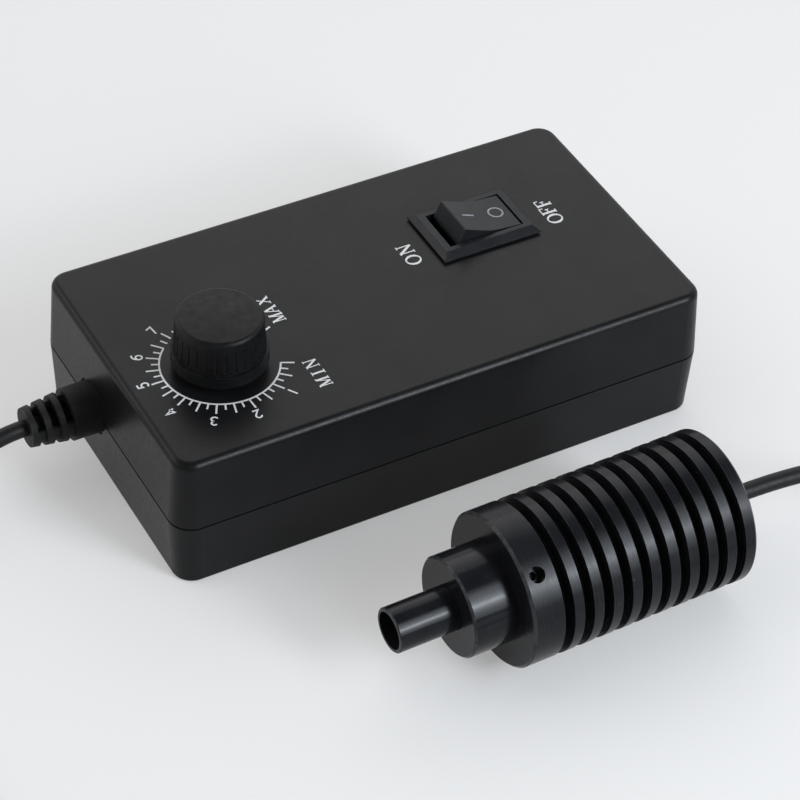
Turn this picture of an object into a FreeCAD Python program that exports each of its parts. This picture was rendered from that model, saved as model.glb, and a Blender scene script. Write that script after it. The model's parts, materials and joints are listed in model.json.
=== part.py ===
import FreeCAD, Part
import math
import os

# Coaxial microscope light: a control box with a dimmer knob and a rocker switch, and a lamp
# head on a cord whose nose tube plugs into a microscope's coaxial port.
# Millimetres. The origin is the centre of the box's underside, +X runs along the box towards
# the power inlet, +Y to its back and +Z up. The lamp lies in front of the box.

# Control box
BOX_LENGTH = 110.2
BOX_WIDTH = 60.4
BOX_HEIGHT = 28.7
PARTING_HEIGHT = 13.9
TOP_DRAFT = 0.9
BOTTOM_DRAFT = 0.6
CORNER_RADIUS = 4.5
TOP_EDGE_RADIUS = 1.45
BOTTOM_EDGE_RADIUS = 0.7
SEAM_CHAMFER = 0.2
WALL = 2.0
PANEL_THICKNESS = 2.2
FLOOR_THICKNESS = 2.2
TONGUE_THICKNESS = 0.8
TONGUE_HEIGHT = 1.2
SMALLEST_CORNER = 0.5

# Clearances
FIT_CLEARANCE = 0.1
RUNNING_CLEARANCE = 0.04
LOOSE_CLEARANCE = 0.3

# Case screws and their posts
POST_INSET = 6.1
POST_RADIUS = 4.2
BOSS_RADIUS = 3.2
POST_BELOW_PARTING = 0.9
CASE_SCREW_RADIUS = 1.5
CASE_SCREW_HEAD_RADIUS = 2.8
CASE_SCREW_HEAD_HEIGHT = 2.0
CASE_SCREW_LENGTH = 12.0
CASE_SCREW_SEAT = 9.0

# Circuit board
BOARD_CENTRE_X = -3.0
BOARD_END_MARGIN = 18.1
BOARD_LENGTH = BOX_LENGTH - 2 * BOARD_END_MARGIN
BOARD_WIDTH = 44.0
BOARD_THICKNESS = 1.6
BOARD_UNDERSIDE = 5.0
BOARD_HOLE_INSET = 4.0
STANDOFF_RADIUS = 3.0
BOARD_SCREW_RADIUS = 1.1
BOARD_SCREW_HEAD_RADIUS = 2.1
BOARD_SCREW_HEAD_HEIGHT = 1.5
BOARD_SCREW_GRIP = 2.6
HEAD_CROWN_SHARE = 0.7
RECESS_SPAN_SHARE = 0.8
RECESS_WIDTH = 0.5
RECESS_DEPTH = 0.8

# Board components
INPUT_CAPACITOR_X = 12.0
INPUT_CAPACITOR_Y = -13.0
INPUT_CAPACITOR_RADIUS = 4.0
INPUT_CAPACITOR_HEIGHT = 11.5
OUTPUT_CAPACITOR_X = -10.0
OUTPUT_CAPACITOR_Y = 14.0
OUTPUT_CAPACITOR_RADIUS = 3.15
OUTPUT_CAPACITOR_HEIGHT = 11.0
CRIMP_SHARE = 0.1
CRIMP_START_SHARE = 0.1
CRIMP_END_SHARE = 0.18
INDUCTOR_X = -4.0
INDUCTOR_Y = -12.0
INDUCTOR_RADIUS = 5.0
INDUCTOR_HEIGHT = 6.0
INDUCTOR_CHEEK = 1.2
INDUCTOR_WINDING_RADIUS = 4.3
CHIP_X = 2.0
CHIP_Y = 3.0
CHIP_LENGTH = 5.0
CHIP_WIDTH = 4.0
CHIP_HEIGHT = 1.6
CHIP_LEGS_PER_SIDE = 4
CHIP_LEG_WIDTH = 0.42
CHIP_LEG_REACH = 1.0
CHIP_LEG_THICKNESS = 0.4
DIODE_X = -7.0
DIODE_Y = 1.0
DIODE_LENGTH = 4.3
DIODE_WIDTH = 2.6
DIODE_HEIGHT = 2.2
DIODE_TAB_REACH = 0.43
DIODE_TAB_WIDTH = 1.3
DIODE_TAB_THICKNESS = 0.55
RESISTOR_COUNT = 6
RESISTOR_PITCH = 2.4
RESISTOR_LENGTH = 2.0
RESISTOR_WIDTH = 1.25
RESISTOR_HEIGHT = 0.6
RESISTOR_X = -4.0
RESISTOR_Y = 9.0
HEADER_DEPTH = 5.8
HEADER_HEIGHT = 7.0
HEADER_PITCH = 2.5
HEADER_WIRE_RISE = 3.9
HEADER_INSET = 0.6
DIMMER_HEADER_OFFSET = 13.3
SWITCH_HEADER_OFFSET_X = 2.0
SWITCH_HEADER_OFFSET_Y = 9.2

# Dimmer and its knob
KNOB_INSET = 19.3
KNOB_Y = -7.1
KNOB_GAP = 1.84
KNOB_HEIGHT = 9.56
KNOB_TOP_RADIUS = 8.0
KNOB_FOOT_RADIUS = 8.45
KNOB_SKIRT_RADIUS = 8.97
KNOB_SKIRT_HEIGHT = 2.48
KNOB_EDGE_RADIUS = 0.9
KNOB_CROWN = 0.3
KNOB_FLUTES = 30
KNOB_FLUTE_RADIUS = 0.5
KNOB_FLUTE_DEPTH = 0.16
KNOB_RECESS_RADIUS = 6.9
KNOB_RECESS_DEPTH = 2.8
KNOB_ROOF = 1.7
SHAFT_RADIUS = 3.0
SHAFT_FLAT = 1.5
BUSHING_RADIUS = 3.5
BUSHING_RISE = 3.2
POT_RADIUS = 8.25
POT_HEIGHT = 7.0
POT_WALL = 0.8
WAFER_THICKNESS = 1.2
WIPER_RADIUS = 5.5
WIPER_THICKNESS = 1.0
WIPER_FINGER_WIDTH = 1.2
POT_LEG_OFFSET = 5.0
POT_LEG_PITCH = 4.0
POT_LEG_LENGTH = 3.5
POT_LEG_THICKNESS = 0.6
POT_LEG_WIDTH = 1.4
POT_WASHER_RADIUS = 6.0
POT_WASHER_THICKNESS = 0.5
POT_NUT_WIDTH = 10.0
POT_NUT_HEIGHT = 2.0

# Rocker switch, heights from the panel's top unless they say otherwise
SWITCH_INSET = 30.3
SWITCH_Y = 6.8
BEZEL_LENGTH = 21.0
BEZEL_WIDTH = 15.0
BEZEL_EDGE = 0.3
BEZEL_HEIGHT = 1.6
BEZEL_TOP_LENGTH = 18.6
BEZEL_TOP_WIDTH = 12.0
BEZEL_UNDERCUT = 0.4
BEZEL_UNDERCUT_HEIGHT = 0.35
SWITCH_LENGTH = 18.9
SWITCH_WIDTH = 11.9
SWITCH_DEPTH = 13.5
SWITCH_FLOOR = 1.3
OPENING_LENGTH = 16.0
OPENING_WIDTH = 10.2
CLIP_WIDTH = 5.0
CLIP_STEP = 0.6
CLIP_HEIGHT = 2.0
ROCKER_TILT = 13.5
ROCKER_PIVOT_DEPTH = 3.4
ROCKER_HALF_LENGTH = 6.45
ROCKER_RIDGE = 6.5
ROCKER_DISH_ANGLE = 8.6
ROCKER_DISH_HALF_LENGTH = 2.5
ROCKER_FLARE = 0.75
ROCKER_SIDE_BOTTOM = 3.0
ROCKER_KEEL = 1.6
ROCKER_KEEL_HALF_LENGTH = 5.0
ROCKER_SIDE_GAP = 0.35
ROCKER_EDGE_RADIUS = 0.3
PIVOT_PIN_RADIUS = 1.0
PIVOT_PIN_REACH = 0.7
PLUNGER_RADIUS = 1.25
PLUNGER_WALL = 0.7
PLUNGER_BOSS_LENGTH = 1.6
PLUNGER_TIP_DEPTH = 5.8
SPRING_LENGTH = 1.6
SPRING_WIRE = 0.3
LEVER_PIVOT_DEPTH = 9.95
LEVER_TILT = 5.0
LEVER_HALF_LENGTH = 5.0
LEVER_WIDTH = 3.2
LEVER_THICKNESS = 0.6
BLADE_THICKNESS = 0.8
BLADE_WIDTH = 4.8
BLADE_DROP = 7.2
CONTACT_X = 5.4
CONTACT_PAD_LENGTH = 1.6
CONTACT_PAD_HEIGHT = 0.5
EAR_HEIGHT = 1.2

# Power inlet in the box's right end wall
INLET_Y = -8.0
INLET_HEIGHT = 8.0
INLET_SEAT_DEPTH = 0.7
INLET_WALL = 2.2
INLET_FLANGE_RADIUS = 5.2
INLET_FLANGE_THICKNESS = 1.5
INLET_SPOT_RADIUS = 5.8
INLET_BARREL_RADIUS = 3.9
INLET_BARREL_RISE = 3.0
INLET_BODY_RADIUS = 4.4
INLET_BODY_LENGTH = 6.0
INLET_BORE_RADIUS = 2.75
INLET_BORE_DEPTH = 9.0
INLET_PIN_RADIUS = 1.0
INLET_PIN_STEP = 0.5
INLET_TAIL = 2.0
INLET_NUT_WIDTH = 10.0
INLET_NUT_HEIGHT = 2.0
CONTACT_STRIP_THICKNESS = 0.5
CONTACT_STRIP_WIDTH = 2.0

# Strain relief in the box's left end wall, on the parting plane
RELIEF_Y = 7.45
RELIEF_SEAT_DEPTH = 0.5
RELIEF_SEAT_GAP = 0.45
RELIEF_LENGTH = 13.7
RELIEF_BASE_RADIUS = 5.06
RELIEF_BASE_LENGTH = 5.6
RELIEF_SHOULDER_RADIUS = 4.85
RELIEF_END_RADIUS = 3.8
RELIEF_RINGS = 3
RELIEF_GROOVE_WIDTH = 1.25
RELIEF_GROOVE_DEPTH = 0.45
RELIEF_POCKET_WIDTH = 1.6
RELIEF_POCKET_FLOOR = 2.0
RELIEF_POCKET_SPAN = 92.0
RELIEF_POCKET_ANGLE = 118.0
RELIEF_NECK_RADIUS = 3.8
RELIEF_FLANGE_RADIUS = 5.0
RELIEF_FLANGE_THICKNESS = 2.0
CORD_TAIL_LENGTH = 3.6

# Wires inside the box and the lamp: their straight leads
JACK_WIRE_LEAD = 2.5
LAMP_WIRE_LEAD = 2.4
DIMMER_WIRE_DROP = 2.6
DIMMER_WIRE_LEAD = 4.4
SWITCH_WIRE_LEAD = 1.7
SWITCH_WIRE_DROP = 1.0
CHAMBER_BEND_START = 0.45
CHAMBER_BEND_END = 0.85

# Cord between the box and the lamp
CORD_RADIUS = 1.6
CORE_RADIUS = 0.6
CORE_SPACING = 1.6
CORD_REST = 1.7
ARC_SHARE = 0.45
CORD_EXIT_RUN = 3.0
COIL_ENTRY_RUN = 16.0
COIL_EXIT_RUN = 9.5
LAMP_ENTRY_RUN = 15.0
COIL_X = -75.0
COIL_Y = -113.0
COIL_INNER_RADIUS = 13.2
COIL_PITCH = 3.8
COIL_LAYER = 3.8
COIL_TURNS_IN = 2.75
COIL_TURNS_OUT = 2.5
COIL_START_ANGLE = 180.0
COIL_STEP = 90.0
COIL_CLIMB_ANGLE = 90.0
GAP_SAMPLE = 1.2

# Lamp head, stations measured from the tip of its nose tube
LAMP_TIP_X = -32.83
LAMP_TIP_Y = -67.04
LAMP_TURN = 1.11
LAMP_RADIUS = 14.45
LAMP_LENGTH = 66.4
NOSE_RADIUS = 4.2
NOSE_WALL = 0.7
NOSE_RELIEF = 0.3
NOSE_GRIP_RADIUS = 4.0
NOSE_GRIP = 6.4
NOSE_EDGE = 0.2
COLLAR_START = 11.6
COLLAR_RADIUS = 9.4
COLLAR_EDGE = 0.4
BODY_START = 20.4
BODY_EDGE = 0.5
BODY_REAR_EDGE = 0.4
HOLDER_DEPTH = 13.0
FIN_COUNT = 10
FIRST_GROOVE = 26.44
REAR_RIM = 2.43
GROOVE_WIDTH = 2.03
GROOVE_DEPTH = 3.2
LENS_RADIUS = 7.0
LENS_EDGE = 1.5
LENS_CROWN_RADIUS = 5.6
LENS_CROWN = 2.4
LENS_SHELF = 2.0
LENS_SHELF_WIDTH = 1.0
LENS_RING_WIDTH = 1.3
LENS_RING_THICKNESS = 2.0
LED_BOARD_RADIUS = 8.0
LED_BOARD_THICKNESS = 1.6
LED_WEB = 6.0
PAD_RADIUS = 4.0
PAD_THICKNESS = 0.3
EMITTER_SIDE = 3.4
EMITTER_HEIGHT = 1.0
DOME_RADIUS = 1.6
LED_SCREW_OFFSET = 5.6
LED_SCREW_RADIUS = 1.0
LED_SCREW_HEAD_RADIUS = 1.8
LED_SCREW_HEAD_HEIGHT = 1.2
LED_SCREW_LENGTH = 6.0
WIRE_HOLE_OFFSET = 6.2
WIRE_HOLE_RADIUS = 1.8
WIRE_CHAMBER_RADIUS = 8.5
WIRE_CHAMBER_LENGTH = 8.0
GROMMET_RADIUS = 3.2
GROMMET_LENGTH = 6.4
SET_SCREW_STATION = 23.14
SET_SCREW_ANGLE = 129.5
SET_SCREW_RADIUS = 1.5
SET_SCREW_LENGTH = 2.6
SET_SCREW_KEY = 1.5
SET_SCREW_KEY_DEPTH = 1.2

UP = FreeCAD.Vector(0, 0, 1)
ALONG = FreeCAD.Vector(1, 0, 0)
BACK = FreeCAD.Vector(0, 1, 0)

PANEL_TOP = BOX_HEIGHT
PANEL_UNDERSIDE = PANEL_TOP - PANEL_THICKNESS
KNOB_X = -BOX_LENGTH / 2 + KNOB_INSET
SWITCH_X = BOX_LENGTH / 2 - SWITCH_INSET
BOARD_TOP = BOARD_UNDERSIDE + BOARD_THICKNESS
HEADER_WIRE_HEIGHT = BOARD_TOP + HEADER_WIRE_RISE
POWER_HEADER_X = BOARD_CENTRE_X + BOARD_LENGTH / 2 - HEADER_INSET
LAMP_HEADER_X = BOARD_CENTRE_X - BOARD_LENGTH / 2 + HEADER_INSET
DIMMER_HEADER_X = KNOB_X + DIMMER_HEADER_OFFSET
SWITCH_HEADER_X = SWITCH_X - SWITCH_HEADER_OFFSET_X
SWITCH_HEADER_Y = SWITCH_Y + SWITCH_HEADER_OFFSET_Y
INLET_SEAT_X = BOX_LENGTH / 2 - INLET_SEAT_DEPTH
RELIEF_SEAT_X = -BOX_LENGTH / 2 + RELIEF_SEAT_DEPTH
RELIEF_END_X = RELIEF_SEAT_X - RELIEF_LENGTH
RELIEF_INNER_X = RELIEF_SEAT_X + WALL + RELIEF_SEAT_DEPTH + RELIEF_FLANGE_THICKNESS
FIN_PITCH = (LAMP_LENGTH - REAR_RIM - GROOVE_WIDTH - FIRST_GROOVE) / (FIN_COUNT - 1)
CHAMBER_END = LAMP_LENGTH - GROMMET_LENGTH
CHAMBER_START = CHAMBER_END - WIRE_CHAMBER_LENGTH
LED_SEAT = CHAMBER_START - LED_WEB
LED_BOARD_REAR = LED_SEAT - PAD_THICKNESS
LED_BOARD_FRONT = LED_BOARD_REAR - LED_BOARD_THICKNESS
LENS_SEAT = COLLAR_START + NOSE_GRIP + LENS_SHELF


def point(x, y, z):
    return FreeCAD.Vector(x, y, z)


def unit(vector):
    return vector * (1 / vector.Length)


def rod(radius, length, base, direction=UP):
    return Part.makeCylinder(radius, length, base, direction)


def sleeve(outer, inner, length, base, direction=UP):
    return rod(outer, length, base, direction).cut(rod(inner, length, base, direction))


def block(low, high):
    """Box between two opposite corners."""
    size = high - low
    return Part.makeBox(size.x, size.y, size.z, low)


def centred_block(length, width, height, centre_x, centre_y, bottom):
    low = point(centre_x - length / 2, centre_y - width / 2, bottom)
    return block(low, low + point(length, width, height))


def lathe(profile, base, direction=UP):
    """Solid turned from a closed outline of (station, radius) pairs."""
    corners = [point(radius, 0, station) for station, radius in profile]
    face = Part.Face(Part.makePolygon(corners + [corners[0]]))
    solid = face.revolve(FreeCAD.Vector(), UP, 360)
    solid.Placement = FreeCAD.Placement(base, FreeCAD.Rotation(UP, direction))
    return solid


def hexagon(across_flats, length, base, direction=UP):
    """Six-sided prism."""
    corner_radius = across_flats / 2 / math.cos(math.pi / 6)
    angles = [math.radians(60 * step) for step in range(7)]
    corners = [point(corner_radius * math.cos(a), corner_radius * math.sin(a), 0) for a in angles]
    prism = Part.Face(Part.makePolygon(corners)).extrude(UP * length)
    prism.Placement = FreeCAD.Placement(base, FreeCAD.Rotation(UP, direction))
    return prism


def hex_nut(across_flats, bore, length, base, direction=UP):
    """Nut with its corners turned off on the outer end."""
    corner_radius = across_flats / 2 / math.cos(math.pi / 6)
    bevel = corner_radius - across_flats / 2
    cone = lathe(
        [(0, 0), (0, corner_radius), (length - bevel, corner_radius),
         (length, across_flats / 2), (length, 0)],
        base, direction)
    nut = hexagon(across_flats, length, base, direction).common(cone)
    return nut.cut(rod(bore, length, base, direction))


def screw(radius, length, head_radius, head_height, base, direction):
    """Pan-head screw with a cross recess. Its shank runs from base along direction."""
    crown = head_radius * HEAD_CROWN_SHARE
    reach = crown * RECESS_SPAN_SHARE
    profile = [(length, 0), (length - radius / 2, radius), (0, radius), (0, head_radius),
               (-head_height / 2, head_radius), (-head_height, crown), (-head_height, 0)]
    solid = lathe(profile, base, direction)
    recess_base = base - direction * head_height
    for turn in (0, 90):
        bar = Part.makeBox(2 * reach, RECESS_WIDTH, RECESS_DEPTH, point(-reach, -RECESS_WIDTH / 2, 0))
        bar.rotate(FreeCAD.Vector(), UP, turn)
        bar.Placement = FreeCAD.Placement(recess_base, FreeCAD.Rotation(UP, direction)) * bar.Placement
        solid = solid.cut(bar)
    return solid


def route(points):
    """Wire of straight runs joined by tangent arcs, with its length and the arcs' radii."""
    edges = []
    radii = []
    start = points[0]
    for before, corner, after in zip(points, points[1:], points[2:]):
        run_in = corner - before
        run_out = after - corner
        half_turn = run_in.getAngle(run_out) / 2
        reach = ARC_SHARE * min(run_in.Length, run_out.Length)
        radius = reach / math.tan(half_turn)
        inward = unit(unit(run_out) - unit(run_in))
        arc_start = corner - unit(run_in) * reach
        arc_end = corner + unit(run_out) * reach
        arc_middle = corner + inward * (radius / math.cos(half_turn) - radius)
        edges.append(Part.LineSegment(start, arc_start).toShape())
        edges.append(Part.Arc(arc_start, arc_middle, arc_end).toShape())
        radii.append(radius)
        start = arc_end
    edges.append(Part.LineSegment(start, points[-1]).toShape())
    wire = Part.Wire(edges)
    return wire, wire.Length, radii


def swept(wire, radius, start, direction):
    """Round tube along a wire."""
    section = Part.Wire(Part.makeCircle(radius, start, direction))
    return wire.makePipeShell([section], True, False)


def report_tube(name, solid, radius, length, radii):
    """Prints a tube's volume against its section times its length, and its bend radii."""
    expected = math.pi * radius ** 2 * length
    bends = " ".join(f"{bend:.1f}" for bend in radii)
    print(f"{name}: length {length:.1f}, volume ratio {solid.Volume / expected:.4f}, radii {bends}")


def tube(points, radius, name):
    """Tube along hand-chosen points."""
    wire, length, radii = route(points)
    solid = swept(wire, radius, points[0], points[1] - points[0])
    report_tube(name, solid, radius, length, radii)
    return solid


# Control box shells

def box_outline(inset, height):
    """Rounded rectangle at a height, drawn in from the box's size at the parting line."""
    radius = max(CORNER_RADIUS - inset, SMALLEST_CORNER)
    centre_x = BOX_LENGTH / 2 - inset - radius
    centre_y = BOX_WIDTH / 2 - inset - radius
    corners = [(1, 1, 0), (-1, 1, 90), (-1, -1, 180), (1, -1, 270)]
    arcs = []
    for side_x, side_y, first_angle in corners:
        rim = []
        for angle in (first_angle, first_angle + 45, first_angle + 90):
            turn = math.radians(angle)
            rim.append(point(side_x * centre_x + radius * math.cos(turn),
                             side_y * centre_y + radius * math.sin(turn), height))
        arcs.append(Part.Arc(*rim).toShape())
    edges = []
    for arc, following in zip(arcs, arcs[1:] + arcs[:1]):
        edges.append(arc)
        edges.append(Part.makeLine(arc.Vertexes[-1].Point, following.Vertexes[0].Point))
    return Part.Wire(edges)


def box_layer(levels):
    """Solid through box outlines, given as (inset, height) pairs from the bottom up."""
    return Part.makeLoft([box_outline(inset, height) for inset, height in levels], True, True)


def round_edges_at(solid, height, radius):
    """Rounds the edges that lie flat at a height."""
    flat = [edge for edge in solid.Edges
            if abs(edge.BoundBox.ZMin - height) < 1e-4 and abs(edge.BoundBox.ZMax - height) < 1e-4]
    return solid.makeFillet(radius, flat)


def post_places():
    """Centres of the four screw posts."""
    x = BOX_LENGTH / 2 - POST_INSET
    y = BOX_WIDTH / 2 - POST_INSET
    return [(side_x * x, side_y * y) for side_x in (-1, 1) for side_y in (-1, 1)]


def board_hole_places():
    """Centres of the four circuit board screws."""
    x = BOARD_LENGTH / 2 - BOARD_HOLE_INSET
    y = BOARD_WIDTH / 2 - BOARD_HOLE_INSET
    return [(BOARD_CENTRE_X + side_x * x, side_y * y) for side_x in (-1, 1) for side_y in (-1, 1)]


def relief_opening():
    """Space for the strain relief's neck and the flat seat of its base."""
    axis_start = point(RELIEF_SEAT_X - WALL, RELIEF_Y, PARTING_HEIGHT)
    neck = rod(RELIEF_NECK_RADIUS + FIT_CLEARANCE, 4 * WALL, axis_start, ALONG)
    seat = rod(RELIEF_BASE_RADIUS + RELIEF_SEAT_GAP, WALL, axis_start, ALONG)
    return neck.fuse(seat)


def lower_shell():
    outer = box_layer([(BOTTOM_DRAFT, 0), (0, PARTING_HEIGHT - SEAM_CHAMFER),
                       (SEAM_CHAMFER, PARTING_HEIGHT)])
    outer = round_edges_at(outer, 0, BOTTOM_EDGE_RADIUS)
    cavity = box_layer([(WALL + BOTTOM_DRAFT, FLOOR_THICKNESS), (WALL, PARTING_HEIGHT)])
    tongue_root = PARTING_HEIGHT - TONGUE_HEIGHT
    tongue_top = PARTING_HEIGHT + TONGUE_HEIGHT
    tongue_inset = WALL - TONGUE_THICKNESS
    tongue = box_layer([(tongue_inset, tongue_root), (tongue_inset, tongue_top)])
    tongue = tongue.cut(box_layer([(WALL, tongue_root), (WALL, tongue_top)]))
    shell = outer.cut(cavity).fuse(tongue)
    post_top = PARTING_HEIGHT - POST_BELOW_PARTING
    root = FLOOR_THICKNESS / 2
    for x, y in post_places():
        post = rod(POST_RADIUS, post_top - root, point(x, y, root))
        shell = shell.fuse(post.common(outer))
    for x, y in board_hole_places():
        shell = shell.fuse(rod(STANDOFF_RADIUS, BOARD_UNDERSIDE - root, point(x, y, root)))
    inlet_pad = rod(INLET_SPOT_RADIUS, INLET_WALL + INLET_SEAT_DEPTH,
                    point(INLET_SEAT_X - INLET_WALL, INLET_Y, INLET_HEIGHT), ALONG)
    shell = shell.fuse(inlet_pad.common(outer))
    for x, y in post_places():
        counterbore = rod(CASE_SCREW_HEAD_RADIUS + LOOSE_CLEARANCE, CASE_SCREW_SEAT, point(x, y, 0))
        hole = rod(CASE_SCREW_RADIUS + FIT_CLEARANCE, post_top, point(x, y, 0))
        shell = shell.cut(counterbore.fuse(hole))
    pilot_depth = BOARD_SCREW_GRIP + FIT_CLEARANCE
    for x, y in board_hole_places():
        pilot_base = point(x, y, BOARD_UNDERSIDE - pilot_depth)
        shell = shell.cut(rod(BOARD_SCREW_RADIUS, pilot_depth, pilot_base))
    barrel_hole = rod(INLET_BARREL_RADIUS + FIT_CLEARANCE, 2 * INLET_WALL,
                      point(INLET_SEAT_X - INLET_WALL, INLET_Y, INLET_HEIGHT), ALONG)
    spot_face = rod(INLET_SPOT_RADIUS, INLET_WALL, point(INLET_SEAT_X, INLET_Y, INLET_HEIGHT), ALONG)
    return shell.cut(barrel_hole).cut(spot_face).cut(relief_opening()).removeSplitter()


def upper_shell():
    outer = box_layer([(SEAM_CHAMFER, PARTING_HEIGHT), (0, PARTING_HEIGHT + SEAM_CHAMFER),
                       (TOP_DRAFT, BOX_HEIGHT)])
    outer = round_edges_at(outer, BOX_HEIGHT, TOP_EDGE_RADIUS)
    cavity = box_layer([(WALL, PARTING_HEIGHT), (WALL + TOP_DRAFT, PANEL_UNDERSIDE)])
    rebate_inset = WALL - TONGUE_THICKNESS - FIT_CLEARANCE
    rebate_top = PARTING_HEIGHT + TONGUE_HEIGHT + FIT_CLEARANCE
    rebate = box_layer([(rebate_inset, PARTING_HEIGHT), (rebate_inset, rebate_top)])
    shell = outer.cut(cavity).cut(rebate)
    boss_bottom = PARTING_HEIGHT - POST_BELOW_PARTING
    pilot_depth = CASE_SCREW_SEAT + CASE_SCREW_LENGTH + CASE_SCREW_RADIUS - boss_bottom
    boss_top = PANEL_UNDERSIDE + PANEL_THICKNESS / 2
    for x, y in post_places():
        boss = rod(BOSS_RADIUS, boss_top - boss_bottom, point(x, y, boss_bottom))
        shell = shell.fuse(boss).cut(rod(CASE_SCREW_RADIUS, pilot_depth, point(x, y, boss_bottom)))
    bushing_hole = rod(BUSHING_RADIUS + FIT_CLEARANCE, PANEL_THICKNESS,
                       point(KNOB_X, KNOB_Y, PANEL_UNDERSIDE))
    switch_hole = centred_block(SWITCH_LENGTH + 2 * FIT_CLEARANCE, SWITCH_WIDTH + 2 * FIT_CLEARANCE,
                                PANEL_THICKNESS, SWITCH_X, SWITCH_Y, PANEL_UNDERSIDE)
    return shell.cut(bushing_hole).cut(switch_hole).cut(relief_opening()).removeSplitter()


def case_screws():
    return Part.makeCompound([
        screw(CASE_SCREW_RADIUS, CASE_SCREW_LENGTH, CASE_SCREW_HEAD_RADIUS,
              CASE_SCREW_HEAD_HEIGHT, point(x, y, CASE_SCREW_SEAT), UP)
        for x, y in post_places()])


# Circuit board and what it carries

def circuit_board():
    board = centred_block(BOARD_LENGTH, BOARD_WIDTH, BOARD_THICKNESS, BOARD_CENTRE_X, 0, BOARD_UNDERSIDE)
    for x, y in board_hole_places():
        board = board.cut(rod(BOARD_SCREW_RADIUS + FIT_CLEARANCE, BOARD_THICKNESS,
                              point(x, y, BOARD_UNDERSIDE)))
    return board


def board_screws():
    length = BOARD_SCREW_GRIP + BOARD_THICKNESS
    return Part.makeCompound([
        screw(BOARD_SCREW_RADIUS, length, BOARD_SCREW_HEAD_RADIUS, BOARD_SCREW_HEAD_HEIGHT,
              point(x, y, BOARD_TOP), -UP)
        for x, y in board_hole_places()])


def capacitor(radius, height, x, y):
    """Can with a rubber-sealed foot, a crimp groove and a rounded top."""
    crimp = radius * CRIMP_SHARE
    crimp_start = height * CRIMP_START_SHARE
    crimp_end = height * CRIMP_END_SHARE
    profile = [(0, 0), (0, radius), (crimp_start, radius), ((crimp_start + crimp_end) / 2, radius - crimp),
               (crimp_end, radius), (height - crimp, radius), (height, radius - crimp), (height, 0)]
    return lathe(profile, point(x, y, BOARD_TOP))


def input_capacitor():
    return capacitor(INPUT_CAPACITOR_RADIUS, INPUT_CAPACITOR_HEIGHT, INPUT_CAPACITOR_X, INPUT_CAPACITOR_Y)


def output_capacitor():
    return capacitor(OUTPUT_CAPACITOR_RADIUS, OUTPUT_CAPACITOR_HEIGHT,
                     OUTPUT_CAPACITOR_X, OUTPUT_CAPACITOR_Y)


def power_inductor():
    """Drum core with its winding between two cheeks."""
    upper_cheek = INDUCTOR_HEIGHT - INDUCTOR_CHEEK
    profile = [(0, 0), (0, INDUCTOR_RADIUS), (INDUCTOR_CHEEK, INDUCTOR_RADIUS),
               (INDUCTOR_CHEEK, INDUCTOR_WINDING_RADIUS), (upper_cheek, INDUCTOR_WINDING_RADIUS),
               (upper_cheek, INDUCTOR_RADIUS), (INDUCTOR_HEIGHT, INDUCTOR_RADIUS), (INDUCTOR_HEIGHT, 0)]
    return lathe(profile, point(INDUCTOR_X, INDUCTOR_Y, BOARD_TOP))


def driver_chip():
    """Eight-legged driver chip."""
    leg_pitch = CHIP_LENGTH / CHIP_LEGS_PER_SIDE
    chip = centred_block(CHIP_LENGTH, CHIP_WIDTH, CHIP_HEIGHT, CHIP_X, CHIP_Y, BOARD_TOP)
    for leg in range(CHIP_LEGS_PER_SIDE):
        x = CHIP_X + (leg - (CHIP_LEGS_PER_SIDE - 1) / 2) * leg_pitch
        chip = chip.fuse(centred_block(CHIP_LEG_WIDTH, CHIP_WIDTH + 2 * CHIP_LEG_REACH,
                                       CHIP_LEG_THICKNESS, x, CHIP_Y, BOARD_TOP))
    return chip


def rectifier_diode():
    body = centred_block(DIODE_LENGTH, DIODE_WIDTH, DIODE_HEIGHT, DIODE_X, DIODE_Y, BOARD_TOP)
    tabs = centred_block(DIODE_LENGTH + 2 * DIODE_TAB_REACH, DIODE_TAB_WIDTH, DIODE_TAB_THICKNESS,
                         DIODE_X, DIODE_Y, BOARD_TOP)
    return body.fuse(tabs)


def chip_resistors():
    return Part.makeCompound([
        centred_block(RESISTOR_WIDTH, RESISTOR_LENGTH, RESISTOR_HEIGHT,
                      RESISTOR_X + number * RESISTOR_PITCH, RESISTOR_Y, BOARD_TOP)
        for number in range(RESISTOR_COUNT)])


def header_span(ways):
    return (ways - 1) * HEADER_PITCH + 2 * HEADER_PITCH


def header_ways(ways, centre):
    """Places of a header's wires along its row."""
    return [centre + (way - (ways - 1) / 2) * HEADER_PITCH for way in range(ways)]


def power_header():
    return centred_block(HEADER_DEPTH, header_span(2), HEADER_HEIGHT,
                         POWER_HEADER_X - HEADER_DEPTH / 2, INLET_Y, BOARD_TOP)


def lamp_header():
    return centred_block(HEADER_DEPTH, header_span(2), HEADER_HEIGHT,
                         LAMP_HEADER_X + HEADER_DEPTH / 2, RELIEF_Y, BOARD_TOP)


def dimmer_header():
    return centred_block(HEADER_DEPTH, header_span(3), HEADER_HEIGHT,
                         DIMMER_HEADER_X + HEADER_DEPTH / 2, KNOB_Y, BOARD_TOP)


def switch_header():
    return centred_block(header_span(2), HEADER_DEPTH, HEADER_HEIGHT,
                         SWITCH_HEADER_X, SWITCH_HEADER_Y + HEADER_DEPTH / 2, BOARD_TOP)


# Dimmer: a potentiometer under the panel and the knob on its shaft

POT_BOTTOM = PANEL_UNDERSIDE - POT_HEIGHT
KNOB_BOTTOM = PANEL_TOP + KNOB_GAP
SHAFT_BOTTOM = POT_BOTTOM + WAFER_THICKNESS + LOOSE_CLEARANCE
SHAFT_TOP = KNOB_BOTTOM + KNOB_HEIGHT - KNOB_ROOF
BUSHING_TOP = PANEL_TOP + BUSHING_RISE


def on_knob_axis(height):
    return point(KNOB_X, KNOB_Y, height)


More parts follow.
